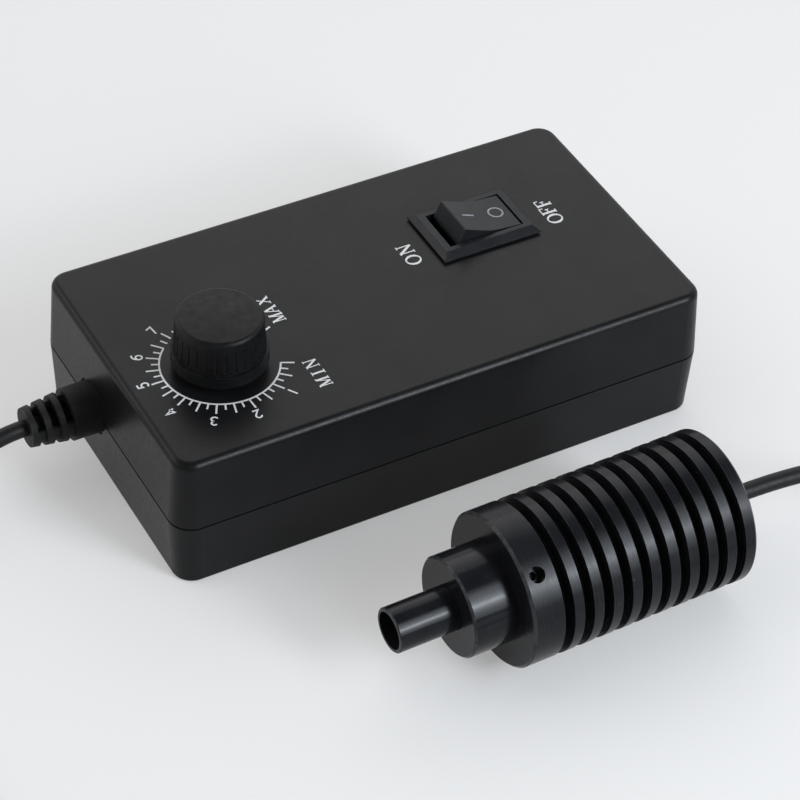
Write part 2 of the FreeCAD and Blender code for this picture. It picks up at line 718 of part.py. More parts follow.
def shaft_solid(bottom, top):
    """Shaft between two heights, with a flat above the bushing."""
    shaft = rod(SHAFT_RADIUS, top - bottom, on_knob_axis(bottom))
    flat_start = BUSHING_TOP + LOOSE_CLEARANCE
    flat = block(point(KNOB_X + SHAFT_FLAT, KNOB_Y - SHAFT_RADIUS, flat_start),
                 point(KNOB_X + SHAFT_RADIUS, KNOB_Y + SHAFT_RADIUS, top))
    return shaft.cut(flat)


def knob():
    profile = [(0, 0), (0, KNOB_SKIRT_RADIUS), (KNOB_SKIRT_HEIGHT, KNOB_SKIRT_RADIUS),
               (KNOB_SKIRT_HEIGHT, KNOB_FOOT_RADIUS), (KNOB_HEIGHT, KNOB_TOP_RADIUS), (KNOB_HEIGHT, 0)]
    body = lathe(profile, on_knob_axis(KNOB_BOTTOM))
    crown_base = KNOB_BOTTOM + KNOB_HEIGHT
    body = round_edges_at(body, crown_base, KNOB_EDGE_RADIUS)
    flat_radius = KNOB_TOP_RADIUS - KNOB_EDGE_RADIUS
    ball_radius = (flat_radius ** 2 + KNOB_CROWN ** 2) / (2 * KNOB_CROWN)
    ball = Part.makeSphere(ball_radius, on_knob_axis(crown_base + KNOB_CROWN - ball_radius))
    crown = ball.common(rod(flat_radius, 2 * KNOB_CROWN, on_knob_axis(crown_base)))
    body = body.fuse(crown)
    flute_bottom = KNOB_BOTTOM + KNOB_SKIRT_HEIGHT + KNOB_FLUTE_RADIUS
    flute_length = KNOB_HEIGHT - KNOB_SKIRT_HEIGHT - 2 * KNOB_EDGE_RADIUS - KNOB_FLUTE_RADIUS
    lean = (KNOB_FOOT_RADIUS - KNOB_TOP_RADIUS) / (KNOB_HEIGHT - KNOB_SKIRT_HEIGHT)
    foot = KNOB_FOOT_RADIUS - lean * KNOB_FLUTE_RADIUS
    flutes = []
    for number in range(KNOB_FLUTES):
        turn = 2 * math.pi * number / KNOB_FLUTES
        outward = point(math.cos(turn), math.sin(turn), 0)
        offset = foot + KNOB_FLUTE_RADIUS - KNOB_FLUTE_DEPTH
        axis = unit(UP - outward * lean)
        base = on_knob_axis(flute_bottom) + outward * offset
        flutes.append(rod(KNOB_FLUTE_RADIUS, flute_length, base, axis))
    body = body.cut(flutes)
    recess = rod(KNOB_RECESS_RADIUS, KNOB_RECESS_DEPTH, on_knob_axis(KNOB_BOTTOM))
    bore = shaft_solid(KNOB_BOTTOM, SHAFT_TOP)
    return body.cut(recess).cut(bore)


def pot_shaft():
    return shaft_solid(SHAFT_BOTTOM, SHAFT_TOP)


def pot_bushing():
    bottom = PANEL_UNDERSIDE - POT_WALL
    return sleeve(BUSHING_RADIUS, SHAFT_RADIUS + RUNNING_CLEARANCE, BUSHING_TOP - bottom,
                  on_knob_axis(bottom))


def pot_case():
    """Can of the potentiometer, open below where the wafer closes it."""
    can = rod(POT_RADIUS, POT_HEIGHT, on_knob_axis(POT_BOTTOM))
    inside = rod(POT_RADIUS - POT_WALL, POT_HEIGHT - POT_WALL, on_knob_axis(POT_BOTTOM))
    return can.cut(inside).cut(rod(BUSHING_RADIUS, POT_HEIGHT, on_knob_axis(POT_BOTTOM)))


def pot_leg_places():
    x = KNOB_X + POT_LEG_OFFSET
    return [(x, KNOB_Y + step * POT_LEG_PITCH) for step in (-1, 0, 1)]


def pot_wafer():
    """Resistive wafer with three legs."""
    wafer = rod(POT_RADIUS - POT_WALL, WAFER_THICKNESS, on_knob_axis(POT_BOTTOM))
    for x, y in pot_leg_places():
        leg = centred_block(POT_LEG_THICKNESS * 2, POT_LEG_WIDTH, POT_LEG_LENGTH + WAFER_THICKNESS / 2,
                            x, y, POT_BOTTOM - POT_LEG_LENGTH)
        wafer = wafer.fuse(leg)
    return wafer


def pot_wiper():
    """Disc on the shaft's foot with a contact finger over the wafer."""
    bottom = SHAFT_BOTTOM + LOOSE_CLEARANCE
    disc = sleeve(WIPER_RADIUS, SHAFT_RADIUS, WIPER_THICKNESS, on_knob_axis(bottom))
    finger = centred_block(WIPER_RADIUS - SHAFT_RADIUS - FIT_CLEARANCE, WIPER_FINGER_WIDTH,
                           LOOSE_CLEARANCE, KNOB_X + (WIPER_RADIUS + SHAFT_RADIUS) / 2, KNOB_Y,
                           SHAFT_BOTTOM)
    return disc.fuse(finger)


def pot_washer():
    return sleeve(POT_WASHER_RADIUS, BUSHING_RADIUS + FIT_CLEARANCE, POT_WASHER_THICKNESS,
                  on_knob_axis(PANEL_TOP))


def pot_nut():
    return hex_nut(POT_NUT_WIDTH, BUSHING_RADIUS, POT_NUT_HEIGHT,
                   on_knob_axis(PANEL_TOP + POT_WASHER_THICKNESS))


# Rocker switch

PIVOT_HEIGHT = PANEL_TOP - ROCKER_PIVOT_DEPTH
SWITCH_BOTTOM = PANEL_TOP - SWITCH_DEPTH
SWITCH_INSIDE = SWITCH_BOTTOM + SWITCH_FLOOR
LEVER_HEIGHT = PANEL_TOP - LEVER_PIVOT_DEPTH
BLADE_BOTTOM = SWITCH_BOTTOM - BLADE_DROP
ROCKER_WIDTH = OPENING_WIDTH - 2 * ROCKER_SIDE_GAP


def in_switch(x, y, height):
    return point(SWITCH_X + x, SWITCH_Y + y, height)


def rectangle(length, width, height):
    """Closed rectangle about the switch's centre."""
    corners = [in_switch(side_x * length / 2, side_y * width / 2, height)
               for side_x, side_y in ((1, 1), (-1, 1), (-1, -1), (1, -1))]
    return Part.makePolygon(corners + [corners[0]])


def blade(x, bottom, top, width=BLADE_WIDTH):
    return centred_block(BLADE_THICKNESS, width, top - bottom, SWITCH_X + x, SWITCH_Y, bottom)


def switch_bezel():
    """Bevelled frame on the panel, undercut all round."""
    brim = PANEL_TOP + BEZEL_UNDERCUT_HEIGHT
    frame = Part.makeLoft([rectangle(BEZEL_LENGTH, BEZEL_WIDTH, brim),
                           rectangle(BEZEL_LENGTH, BEZEL_WIDTH, brim + BEZEL_EDGE),
                           rectangle(BEZEL_TOP_LENGTH, BEZEL_TOP_WIDTH, PANEL_TOP + BEZEL_HEIGHT)],
                          True, True)
    foot = centred_block(BEZEL_LENGTH - 2 * BEZEL_UNDERCUT, BEZEL_WIDTH - 2 * BEZEL_UNDERCUT,
                         BEZEL_UNDERCUT_HEIGHT, SWITCH_X, SWITCH_Y, PANEL_TOP)
    return frame.fuse(foot)


def switch_housing():
    body = centred_block(SWITCH_LENGTH, SWITCH_WIDTH, SWITCH_DEPTH, SWITCH_X, SWITCH_Y, SWITCH_BOTTOM)
    clips = centred_block(CLIP_WIDTH, SWITCH_WIDTH + 2 * CLIP_STEP, CLIP_HEIGHT, SWITCH_X, SWITCH_Y,
                          PANEL_UNDERSIDE - FIT_CLEARANCE - CLIP_HEIGHT)
    cavity = centred_block(OPENING_LENGTH, OPENING_WIDTH, PANEL_TOP + BEZEL_HEIGHT - SWITCH_INSIDE,
                           SWITCH_X, SWITCH_Y, SWITCH_INSIDE)
    pin_hole = rod(PIVOT_PIN_RADIUS + RUNNING_CLEARANCE, SWITCH_WIDTH,
                   in_switch(0, -SWITCH_WIDTH / 2, PIVOT_HEIGHT), BACK)
    housing = switch_bezel().fuse([body, clips]).cut(cavity).cut(pin_hole)
    for x in (0, CONTACT_X):
        housing = housing.cut(blade(x, SWITCH_BOTTOM, SWITCH_INSIDE))
    return housing


def rocker_turn(shape, angle):
    """Turns a shape about the rocker's pivot. A positive angle raises the ON end."""
    shape.rotate(in_switch(0, 0, PIVOT_HEIGHT), BACK, angle)
    return shape


def rocker_outline():
    """Side outline about the pivot, with a dished top between two ridges."""
    slope = math.radians(ROCKER_DISH_ANGLE)
    dish_height = ROCKER_RIDGE - (ROCKER_HALF_LENGTH - ROCKER_DISH_HALF_LENGTH) * math.tan(slope)
    dish_bottom = dish_height - ROCKER_DISH_HALF_LENGTH * math.tan(slope / 2)

    def at(x, rise):
        return in_switch(x, -ROCKER_WIDTH / 2, PIVOT_HEIGHT + rise)

    dish = Part.Arc(at(-ROCKER_DISH_HALF_LENGTH, dish_height), at(0, dish_bottom),
                    at(ROCKER_DISH_HALF_LENGTH, dish_height)).toShape()
    side = ROCKER_HALF_LENGTH + ROCKER_FLARE
    corners = [at(ROCKER_DISH_HALF_LENGTH, dish_height), at(ROCKER_HALF_LENGTH, ROCKER_RIDGE),
               at(side, ROCKER_SIDE_BOTTOM), at(ROCKER_KEEL_HALF_LENGTH, -ROCKER_KEEL),
               at(-ROCKER_KEEL_HALF_LENGTH, -ROCKER_KEEL), at(-side, ROCKER_SIDE_BOTTOM),
               at(-ROCKER_HALF_LENGTH, ROCKER_RIDGE), at(-ROCKER_DISH_HALF_LENGTH, dish_height)]
    sides = [Part.makeLine(first, second) for first, second in zip(corners, corners[1:])]
    return Part.Wire([dish] + sides)


def switch_rocker():
    body = Part.Face(rocker_outline()).extrude(BACK * ROCKER_WIDTH)
    ridges = [edge for edge in body.Edges
              if edge.BoundBox.ZMin > PIVOT_HEIGHT + ROCKER_RIDGE - 1e-3]
    body = body.makeFillet(ROCKER_EDGE_RADIUS, ridges)
    pin_reach = ROCKER_WIDTH / 2 + ROCKER_SIDE_GAP + PIVOT_PIN_REACH
    pins = rod(PIVOT_PIN_RADIUS, 2 * pin_reach, in_switch(0, -pin_reach, PIVOT_HEIGHT), BACK)
    boss_bottom = PIVOT_HEIGHT - ROCKER_KEEL - PLUNGER_BOSS_LENGTH
    boss = rod(PLUNGER_RADIUS + PLUNGER_WALL, PLUNGER_BOSS_LENGTH + ROCKER_KEEL / 2,
               in_switch(0, 0, boss_bottom))
    socket = rod(PLUNGER_RADIUS, PLUNGER_BOSS_LENGTH + ROCKER_KEEL / 2, in_switch(0, 0, boss_bottom))
    return rocker_turn(body.fuse([pins, boss]).cut(socket), ROCKER_TILT)


SOCKET_TOP = PIVOT_HEIGHT - ROCKER_KEEL / 2


def switch_spring():
    base = in_switch(0, 0, SOCKET_TOP - SPRING_LENGTH)
    return rocker_turn(sleeve(PLUNGER_RADIUS, PLUNGER_RADIUS - SPRING_WIRE, SPRING_LENGTH, base), ROCKER_TILT)


def switch_plunger():
    """Round-nosed plunger that tips the contact lever over."""
    tip_centre = PIVOT_HEIGHT - PLUNGER_TIP_DEPTH + PLUNGER_RADIUS
    stem = rod(PLUNGER_RADIUS, SOCKET_TOP - SPRING_LENGTH - tip_centre, in_switch(0, 0, tip_centre))
    tip = Part.makeSphere(PLUNGER_RADIUS, in_switch(0, 0, tip_centre))
    return rocker_turn(stem.fuse(tip).removeSplitter(), ROCKER_TILT)


def contact_lever():
    """See-saw plate under the plunger, tipped away from the contact while the switch is off."""
    plate = centred_block(2 * LEVER_HALF_LENGTH, LEVER_WIDTH, LEVER_THICKNESS,
                          SWITCH_X, SWITCH_Y, LEVER_HEIGHT)
    plate.rotate(in_switch(0, 0, LEVER_HEIGHT), BACK, -LEVER_TILT)
    return plate


def pivot_terminal():
    """Forked blade that carries the contact lever."""
    seat = LEVER_HEIGHT - LOOSE_CLEARANCE
    stem = blade(0, BLADE_BOTTOM, seat + EAR_HEIGHT)
    fork = centred_block(BLADE_THICKNESS, LEVER_WIDTH + 2 * LOOSE_CLEARANCE, EAR_HEIGHT,
                         SWITCH_X, SWITCH_Y, seat)
    return stem.cut(fork)


def contact_terminal():
    """Blade with the fixed contact pad under the lever's end."""
    drop = LEVER_HALF_LENGTH * math.sin(math.radians(LEVER_TILT))
    pad_top = LEVER_HEIGHT - drop - LOOSE_CLEARANCE
    stem = blade(CONTACT_X, BLADE_BOTTOM, pad_top - CONTACT_PAD_HEIGHT)
    pad_x = SWITCH_X + CONTACT_X + BLADE_THICKNESS / 2 - CONTACT_PAD_LENGTH / 2
    pad = centred_block(CONTACT_PAD_LENGTH, LEVER_WIDTH, CONTACT_PAD_HEIGHT, pad_x, SWITCH_Y,
                        pad_top - CONTACT_PAD_HEIGHT)
    return stem.fuse(pad)


# Power inlet

INLET_INSIDE_X = INLET_SEAT_X - INLET_WALL
INLET_MOUTH_X = INLET_SEAT_X + INLET_BARREL_RISE
INLET_REAR_X = INLET_INSIDE_X - INLET_FLANGE_THICKNESS - INLET_BODY_LENGTH
CONTACT_STRIP_Y = INLET_Y + INLET_BORE_RADIUS


def on_inlet_axis(x):
    return point(x, INLET_Y, INLET_HEIGHT)


def contact_strip(start, end):
    return centred_block(end - start, CONTACT_STRIP_THICKNESS, CONTACT_STRIP_WIDTH, (start + end) / 2,
                         CONTACT_STRIP_Y + CONTACT_STRIP_THICKNESS / 2,
                         INLET_HEIGHT - CONTACT_STRIP_WIDTH / 2)


def jack_housing():
    barrel = rod(INLET_BARREL_RADIUS, INLET_MOUTH_X - INLET_INSIDE_X, on_inlet_axis(INLET_INSIDE_X), ALONG)
    flange = rod(INLET_FLANGE_RADIUS, INLET_FLANGE_THICKNESS,
                 on_inlet_axis(INLET_INSIDE_X - INLET_FLANGE_THICKNESS), ALONG)
    rear = rod(INLET_BODY_RADIUS, INLET_BODY_LENGTH, on_inlet_axis(INLET_REAR_X), ALONG)
    bore = rod(INLET_BORE_RADIUS, INLET_BORE_DEPTH, on_inlet_axis(INLET_MOUTH_X - INLET_BORE_DEPTH), ALONG)
    pin_hole = rod(INLET_PIN_RADIUS, INLET_MOUTH_X - INLET_REAR_X, on_inlet_axis(INLET_REAR_X), ALONG)
    strip_slot = contact_strip(INLET_REAR_X, INLET_SEAT_X)
    return barrel.fuse([flange, rear]).cut(bore).cut(pin_hole).cut(strip_slot)


def jack_pin():
    """Centre pin with its solder tail."""
    start = INLET_REAR_X - INLET_TAIL
    length = INLET_MOUTH_X - INLET_PIN_STEP - start
    chamfer = INLET_PIN_RADIUS / 2
    profile = [(0, 0), (0, INLET_PIN_RADIUS), (length - chamfer, INLET_PIN_RADIUS),
               (length, chamfer), (length, 0)]
    return lathe(profile, on_inlet_axis(start), ALONG)


def jack_contact():
    return contact_strip(INLET_REAR_X - INLET_TAIL, INLET_SEAT_X)


def jack_nut():
    return hex_nut(INLET_NUT_WIDTH, INLET_BARREL_RADIUS, INLET_NUT_HEIGHT, on_inlet_axis(INLET_SEAT_X), ALONG)


# Strain relief

def relief_radius(distance):
    """Radius of the relief's tapered end at a distance from the box."""
    share = (distance - RELIEF_BASE_LENGTH) / (RELIEF_LENGTH - RELIEF_BASE_LENGTH)
    return RELIEF_SHOULDER_RADIUS - share * (RELIEF_SHOULDER_RADIUS - RELIEF_END_RADIUS)


def on_relief_axis(x):
    return point(x, RELIEF_Y, PARTING_HEIGHT)


def relief_pocket(radius, start, angle):
    """Part of a ring groove that is cut deep, centred on an angle from +Y towards +Z."""
    pocket = Part.makeCylinder(radius, RELIEF_POCKET_WIDTH, FreeCAD.Vector(), UP, RELIEF_POCKET_SPAN)
    pocket.rotate(FreeCAD.Vector(), UP, -RELIEF_POCKET_SPAN / 2)
    pocket = pocket.cut(rod(RELIEF_POCKET_FLOOR, RELIEF_POCKET_WIDTH, FreeCAD.Vector()))
    turn = math.radians(angle)
    outward = point(0, math.cos(turn), math.sin(turn))
    axes = FreeCAD.Rotation(outward, (-ALONG).cross(outward), -ALONG, "ZXY")
    pocket.Placement = FreeCAD.Placement(start, axes)
    return pocket


def strain_relief():
    """Moulded relief: tapered rings with deep pockets on two sides, and a flange inside the wall."""
    seat = on_relief_axis(RELIEF_SEAT_X)
    profile = [(0, 0), (0, RELIEF_BASE_RADIUS), (RELIEF_BASE_LENGTH, RELIEF_BASE_RADIUS),
               (RELIEF_BASE_LENGTH, RELIEF_SHOULDER_RADIUS), (RELIEF_LENGTH, RELIEF_END_RADIUS),
               (RELIEF_LENGTH, 0)]
    relief = lathe(profile, seat, -ALONG)
    ring_width = (RELIEF_LENGTH - RELIEF_BASE_LENGTH) / RELIEF_RINGS - RELIEF_GROOVE_WIDTH
    for number in range(RELIEF_RINGS):
        distance = RELIEF_BASE_LENGTH + number * (ring_width + RELIEF_GROOVE_WIDTH)
        start = seat - ALONG * distance
        around = relief_radius(distance)
        floor = relief_radius(distance + RELIEF_GROOVE_WIDTH) - RELIEF_GROOVE_DEPTH
        groove = sleeve(around, floor, RELIEF_GROOVE_WIDTH, start, -ALONG)
        relief = relief.cut(groove)
        for side in (0, 180):
            relief = relief.cut(relief_pocket(around, start, RELIEF_POCKET_ANGLE + side))
    neck_length = RELIEF_INNER_X - RELIEF_SEAT_X
    neck = rod(RELIEF_NECK_RADIUS, neck_length, seat, ALONG)
    flange = rod(RELIEF_FLANGE_RADIUS, RELIEF_FLANGE_THICKNESS,
                 on_relief_axis(RELIEF_INNER_X - RELIEF_FLANGE_THICKNESS), ALONG)
    return relief.fuse([neck, flange])


def cord_tail():
    """Jacketed end of the cord inside the box."""
    return rod(CORD_RADIUS, CORD_TAIL_LENGTH, on_relief_axis(RELIEF_INNER_X), ALONG)


# Lamp head

def lamp_point(station, side=0.0, rise=0.0):
    """Point in the room of a place on the lamp, from its nose tip along its axis."""
    turn = math.radians(LAMP_TURN)
    return point(LAMP_TIP_X + station * math.cos(turn) - side * math.sin(turn),
                 LAMP_TIP_Y + station * math.sin(turn) + side * math.cos(turn),
                 LAMP_RADIUS + rise)


LAMP_AXIS = point(math.cos(math.radians(LAMP_TURN)), math.sin(math.radians(LAMP_TURN)), 0)


def on_lamp(profile):
    """Turned piece of the lamp from (station, radius) pairs."""
    return lathe(profile, lamp_point(0), LAMP_AXIS)


def lamp_rod(radius, start, end, side=0.0, rise=0.0):
    return rod(radius, end - start, lamp_point(start, side, rise), LAMP_AXIS)


def nose_tube():
    """Tube that goes into the microscope's port, turned down where the collar grips it."""
    free_end = COLLAR_START - NOSE_RELIEF
    end = COLLAR_START + NOSE_GRIP
    inner = NOSE_RADIUS - NOSE_WALL
    return on_lamp([(NOSE_EDGE, NOSE_RADIUS), (free_end, NOSE_RADIUS), (free_end, NOSE_GRIP_RADIUS),
                    (end, NOSE_GRIP_RADIUS), (end, inner), (0, inner), (0, NOSE_RADIUS - NOSE_EDGE)])


def lens_holder():
    """Collar that grips the nose tube in front and the lens behind, inside the heat sink's bore."""
    end = BODY_START + HOLDER_DEPTH
    shelf_start = COLLAR_START + NOSE_GRIP
    shelf_radius = LENS_RADIUS - LENS_SHELF_WIDTH
    return on_lamp([(COLLAR_START, NOSE_GRIP_RADIUS), (COLLAR_START, COLLAR_RADIUS - COLLAR_EDGE),
                    (COLLAR_START + COLLAR_EDGE, COLLAR_RADIUS), (end, COLLAR_RADIUS),
                    (end, LENS_RADIUS), (LENS_SEAT, LENS_RADIUS), (LENS_SEAT, shelf_radius),
                    (shelf_start, shelf_radius), (shelf_start, NOSE_GRIP_RADIUS)])


def condenser_lens():
    """Plano-convex lens with a flat rim."""
    rim = lamp_rod(LENS_RADIUS, LENS_SEAT, LENS_SEAT + LENS_EDGE)
    ball_radius = (LENS_CROWN_RADIUS ** 2 + LENS_CROWN ** 2) / (2 * LENS_CROWN)
    crown_start = LENS_SEAT + LENS_EDGE
    ball = Part.makeSphere(ball_radius, lamp_point(crown_start + LENS_CROWN - ball_radius))
    crown = ball.common(lamp_rod(LENS_RADIUS, crown_start, crown_start + 2 * LENS_CROWN))
    return rim.fuse(crown)


def lens_ring():
    start = LENS_SEAT + LENS_EDGE
    inner = LENS_RADIUS - LENS_RING_WIDTH
    return sleeve(LENS_RADIUS, inner, LENS_RING_THICKNESS, lamp_point(start), LAMP_AXIS)


def led_screw_places():
    return [-LED_SCREW_OFFSET, LED_SCREW_OFFSET]


def set_screw_direction():
    angle = math.radians(SET_SCREW_ANGLE)
    turn = math.radians(LAMP_TURN)
    return point(-math.cos(angle) * math.sin(turn), math.cos(angle) * math.cos(turn), math.sin(angle))


def heat_sink():
    """Finned body, bored for the lens holder in front and for the cord behind."""
    body = on_lamp([(BODY_START, 0), (BODY_START, LAMP_RADIUS - BODY_EDGE),
                    (BODY_START + BODY_EDGE, LAMP_RADIUS), (LAMP_LENGTH - BODY_REAR_EDGE, LAMP_RADIUS),
                    (LAMP_LENGTH, LAMP_RADIUS - BODY_REAR_EDGE), (LAMP_LENGTH, 0)])
    for number in range(FIN_COUNT):
        start = FIRST_GROOVE + number * FIN_PITCH
        body = body.cut(sleeve(LAMP_RADIUS, LAMP_RADIUS - GROOVE_DEPTH, GROOVE_WIDTH,
                               lamp_point(start), LAMP_AXIS))
    body = body.cut(lamp_rod(COLLAR_RADIUS, BODY_START, LED_SEAT))
    body = body.cut(lamp_rod(WIRE_CHAMBER_RADIUS, CHAMBER_START, CHAMBER_END))
    body = body.cut(lamp_rod(GROMMET_RADIUS, CHAMBER_END, LAMP_LENGTH))
    body = body.cut(lamp_rod(WIRE_HOLE_RADIUS, LED_SEAT, CHAMBER_START, 0, -WIRE_HOLE_OFFSET))
    for side in led_screw_places():
        tip = LED_BOARD_FRONT + LED_SCREW_LENGTH
        body = body.cut(lamp_rod(LED_SCREW_RADIUS, LED_SEAT, tip, side))
    return body.cut(rod(SET_SCREW_RADIUS, LAMP_RADIUS, lamp_point(SET_SCREW_STATION), set_screw_direction()))


def lamp_set_screw():
    """Socket grub screw that holds the collar in the bore."""
    direction = set_screw_direction()
    start = lamp_point(SET_SCREW_STATION) + direction * COLLAR_RADIUS
    body = rod(SET_SCREW_RADIUS, SET_SCREW_LENGTH, start, direction)
    key_start = start + direction * (SET_SCREW_LENGTH - SET_SCREW_KEY_DEPTH)
    return body.cut(hexagon(SET_SCREW_KEY, SET_SCREW_KEY_DEPTH, key_start, direction))


def thermal_pad():
    return lamp_rod(PAD_RADIUS, LED_BOARD_REAR, LED_SEAT)


def led_board():
    board = lamp_rod(LED_BOARD_RADIUS, LED_BOARD_FRONT, LED_BOARD_REAR)
    for side in led_screw_places():
        board = board.cut(lamp_rod(LED_SCREW_RADIUS + FIT_CLEARANCE, LED_BOARD_FRONT, LED_BOARD_REAR, side))
    return board


def led_screws():
    return Part.makeCompound([
        screw(LED_SCREW_RADIUS, LED_SCREW_LENGTH, LED_SCREW_HEAD_RADIUS, LED_SCREW_HEAD_HEIGHT,
              lamp_point(LED_BOARD_FRONT, side), LAMP_AXIS)
        for side in led_screw_places()])


def led_emitter():
    half = EMITTER_SIDE / 2
    package = block(point(LED_BOARD_FRONT - EMITTER_HEIGHT, -half, -half), point(LED_BOARD_FRONT, half, half))
    package.Placement = FreeCAD.Placement(lamp_point(0), FreeCAD.Rotation(ALONG, LAMP_AXIS))
    return package


def led_dome():
    """Half-ball lens over the emitter."""
    base = LED_BOARD_FRONT - EMITTER_HEIGHT
    ball = Part.makeSphere(DOME_RADIUS, lamp_point(base))
    return ball.common(lamp_rod(DOME_RADIUS, base - DOME_RADIUS, base))


def core_sides():
    return [-CORE_SPACING / 2, CORE_SPACING / 2]


def lamp_grommet():
    """Plug in the lamp's rear that the cord's two cores pass through."""
    grommet = lamp_rod(GROMMET_RADIUS, CHAMBER_END, LAMP_LENGTH)
    for side in core_sides():
        grommet = grommet.cut(lamp_rod(CORE_RADIUS, CHAMBER_END, LAMP_LENGTH, side))
    return grommet


# Wires inside the box and the lamp

def wire_set(name, routes):
    return Part.makeCompound([tube(points, CORE_RADIUS, f"{name} {number + 1}")
                              for number, points in enumerate(routes)])


def jack_wires():
    start_x = INLET_REAR_X - INLET_TAIL
    strip_y = CONTACT_STRIP_Y + CONTACT_STRIP_THICKNESS / 2
    routes = []
    for tail_y, way_y in zip((INLET_Y, strip_y), header_ways(2, INLET_Y)):
        routes.append([point(start_x, tail_y, INLET_HEIGHT),
                       point(start_x - JACK_WIRE_LEAD, tail_y, INLET_HEIGHT),
                       point(POWER_HEADER_X + JACK_WIRE_LEAD, way_y, HEADER_WIRE_HEIGHT),
                       point(POWER_HEADER_X, way_y, HEADER_WIRE_HEIGHT)])
    return wire_set("jack wire", routes)


def lamp_wires():
    start_x = RELIEF_INNER_X + CORD_TAIL_LENGTH
    routes = []
    for side, way_y in zip(core_sides(), header_ways(2, RELIEF_Y)):
        routes.append([point(start_x, RELIEF_Y + side, PARTING_HEIGHT),
                       point(start_x + LAMP_WIRE_LEAD, RELIEF_Y + side, PARTING_HEIGHT),
                       point(LAMP_HEADER_X - LAMP_WIRE_LEAD, way_y, HEADER_WIRE_HEIGHT),
                       point(LAMP_HEADER_X, way_y, HEADER_WIRE_HEIGHT)])
    return wire_set("lamp wire", routes)


def pot_wires():
    leg_tip = POT_BOTTOM - POT_LEG_LENGTH
    routes = []
    for (x, y), way_y in zip(pot_leg_places(), header_ways(3, KNOB_Y)):
        routes.append([point(x, y, leg_tip),
                       point(x, y, leg_tip - DIMMER_WIRE_DROP),
                       point(DIMMER_HEADER_X - DIMMER_WIRE_LEAD, way_y, HEADER_WIRE_HEIGHT),
                       point(DIMMER_HEADER_X, way_y, HEADER_WIRE_HEIGHT)])
    return wire_set("dimmer wire", routes)


def switch_wires():
    start_y = SWITCH_Y + BLADE_WIDTH / 2
    height = (BLADE_BOTTOM + SWITCH_BOTTOM) / 2 - SWITCH_WIRE_DROP
    routes = []
    for x, way_x in zip((0, CONTACT_X), header_ways(2, SWITCH_HEADER_X)):
        routes.append([point(SWITCH_X + x, start_y, height),
                       point(SWITCH_X + x, start_y + SWITCH_WIRE_LEAD, height),
                       point(way_x, SWITCH_HEADER_Y - SWITCH_WIRE_LEAD, HEADER_WIRE_HEIGHT),
                       point(way_x, SWITCH_HEADER_Y, HEADER_WIRE_HEIGHT)])
    return wire_set("switch wire", routes)


def lamp_inner_wires():
    bend_start = CHAMBER_END - CHAMBER_BEND_START * WIRE_CHAMBER_LENGTH
    bend_end = CHAMBER_END - CHAMBER_BEND_END * WIRE_CHAMBER_LENGTH
    routes = []
    for side in core_sides():
        routes.append([lamp_point(LAMP_LENGTH, side),
                       lamp_point(bend_start, side),
                       lamp_point(bend_end, side, -WIRE_HOLE_OFFSET),
                       lamp_point(LED_BOARD_REAR, side, -WIRE_HOLE_OFFSET)])
    return wire_set("lamp inner wire", routes)


# Cord between the box and the lamp: down to the table, a coil, and on to the lamp's rear

COIL_REVERSAL = 360 * COIL_TURNS_IN
COIL_SWEEP = 360 * (COIL_TURNS_IN + COIL_TURNS_OUT)
LEAD = 2 * CORD_RADIUS


def coil_point(swept_angle):
    """Centreline of the coil: it spirals in on the table, climbs a layer and spirals out on top."""
    from_reversal = swept_angle - COIL_REVERSAL
    radius = COIL_INNER_RADIUS + COIL_PITCH * abs(from_reversal) / 360
    climb = min(max(from_reversal / COIL_CLIMB_ANGLE, -1), 1)
    height = CORD_REST + COIL_LAYER * (1 + math.sin(climb * math.pi / 2)) / 2
    angle = math.radians(COIL_START_ANGLE + swept_angle)
    return point(COIL_X + radius * math.cos(angle), COIL_Y + radius * math.sin(angle), height)


def coil_heading(swept_angle):
    """Direction of the coil's centreline, square to the radius at its two ends."""
    if swept_angle in (0, COIL_SWEEP):
        angle = math.radians(COIL_START_ANGLE + swept_angle)
        return point(-math.sin(angle), math.cos(angle), 0)
    step = 1.0
    return unit(coil_point(swept_angle + step) - coil_point(swept_angle - step))


def arc_edge(start, heading, end):
    """Arc that leaves start along heading and ends at end."""
    chord = end - start
    sideways = chord - heading * chord.dot(heading)
    half_turn = heading.getAngle(chord)
    sag = chord.Length / 2 * math.tan(half_turn / 2)
    across = unit(heading * -chord.dot(sideways) + sideways * chord.dot(heading))
    middle = start + chord * 0.5 - across * sag
    return Part.Arc(start, middle, end).toShape()


def biarc(start, heading, end, end_heading):
    """Two tangent arcs between two points with given headings."""
    chord = end - start
    both = heading + end_heading
    spread = 2 * (1 - heading.dot(end_heading))
    along = chord.dot(both)
    reach = (math.sqrt(along ** 2 + spread * chord.dot(chord)) - along) / spread
    joint = (start + end + (heading - end_heading) * reach) * 0.5
    second = arc_edge(end, end_heading * -1, joint)
    return [arc_edge(start, heading, joint), second]


def coil_wire():
    """Unbroken centreline of the coil with a straight lead at each end."""
    count = round(COIL_SWEEP / COIL_STEP)
    angles = [COIL_SWEEP * number / count for number in range(count + 1)]
    first = coil_point(0) - coil_heading(0) * LEAD
    last = coil_point(COIL_SWEEP) + coil_heading(COIL_SWEEP) * LEAD
    edges = [Part.LineSegment(first, coil_point(0)).toShape()]
    for here, there in zip(angles, angles[1:]):
        edges += biarc(coil_point(here), coil_heading(here), coil_point(there), coil_heading(there))
    edges.append(Part.LineSegment(coil_point(COIL_SWEEP), last).toShape())
    return Part.Wire(Part.__sortEdges__(edges)), first, last


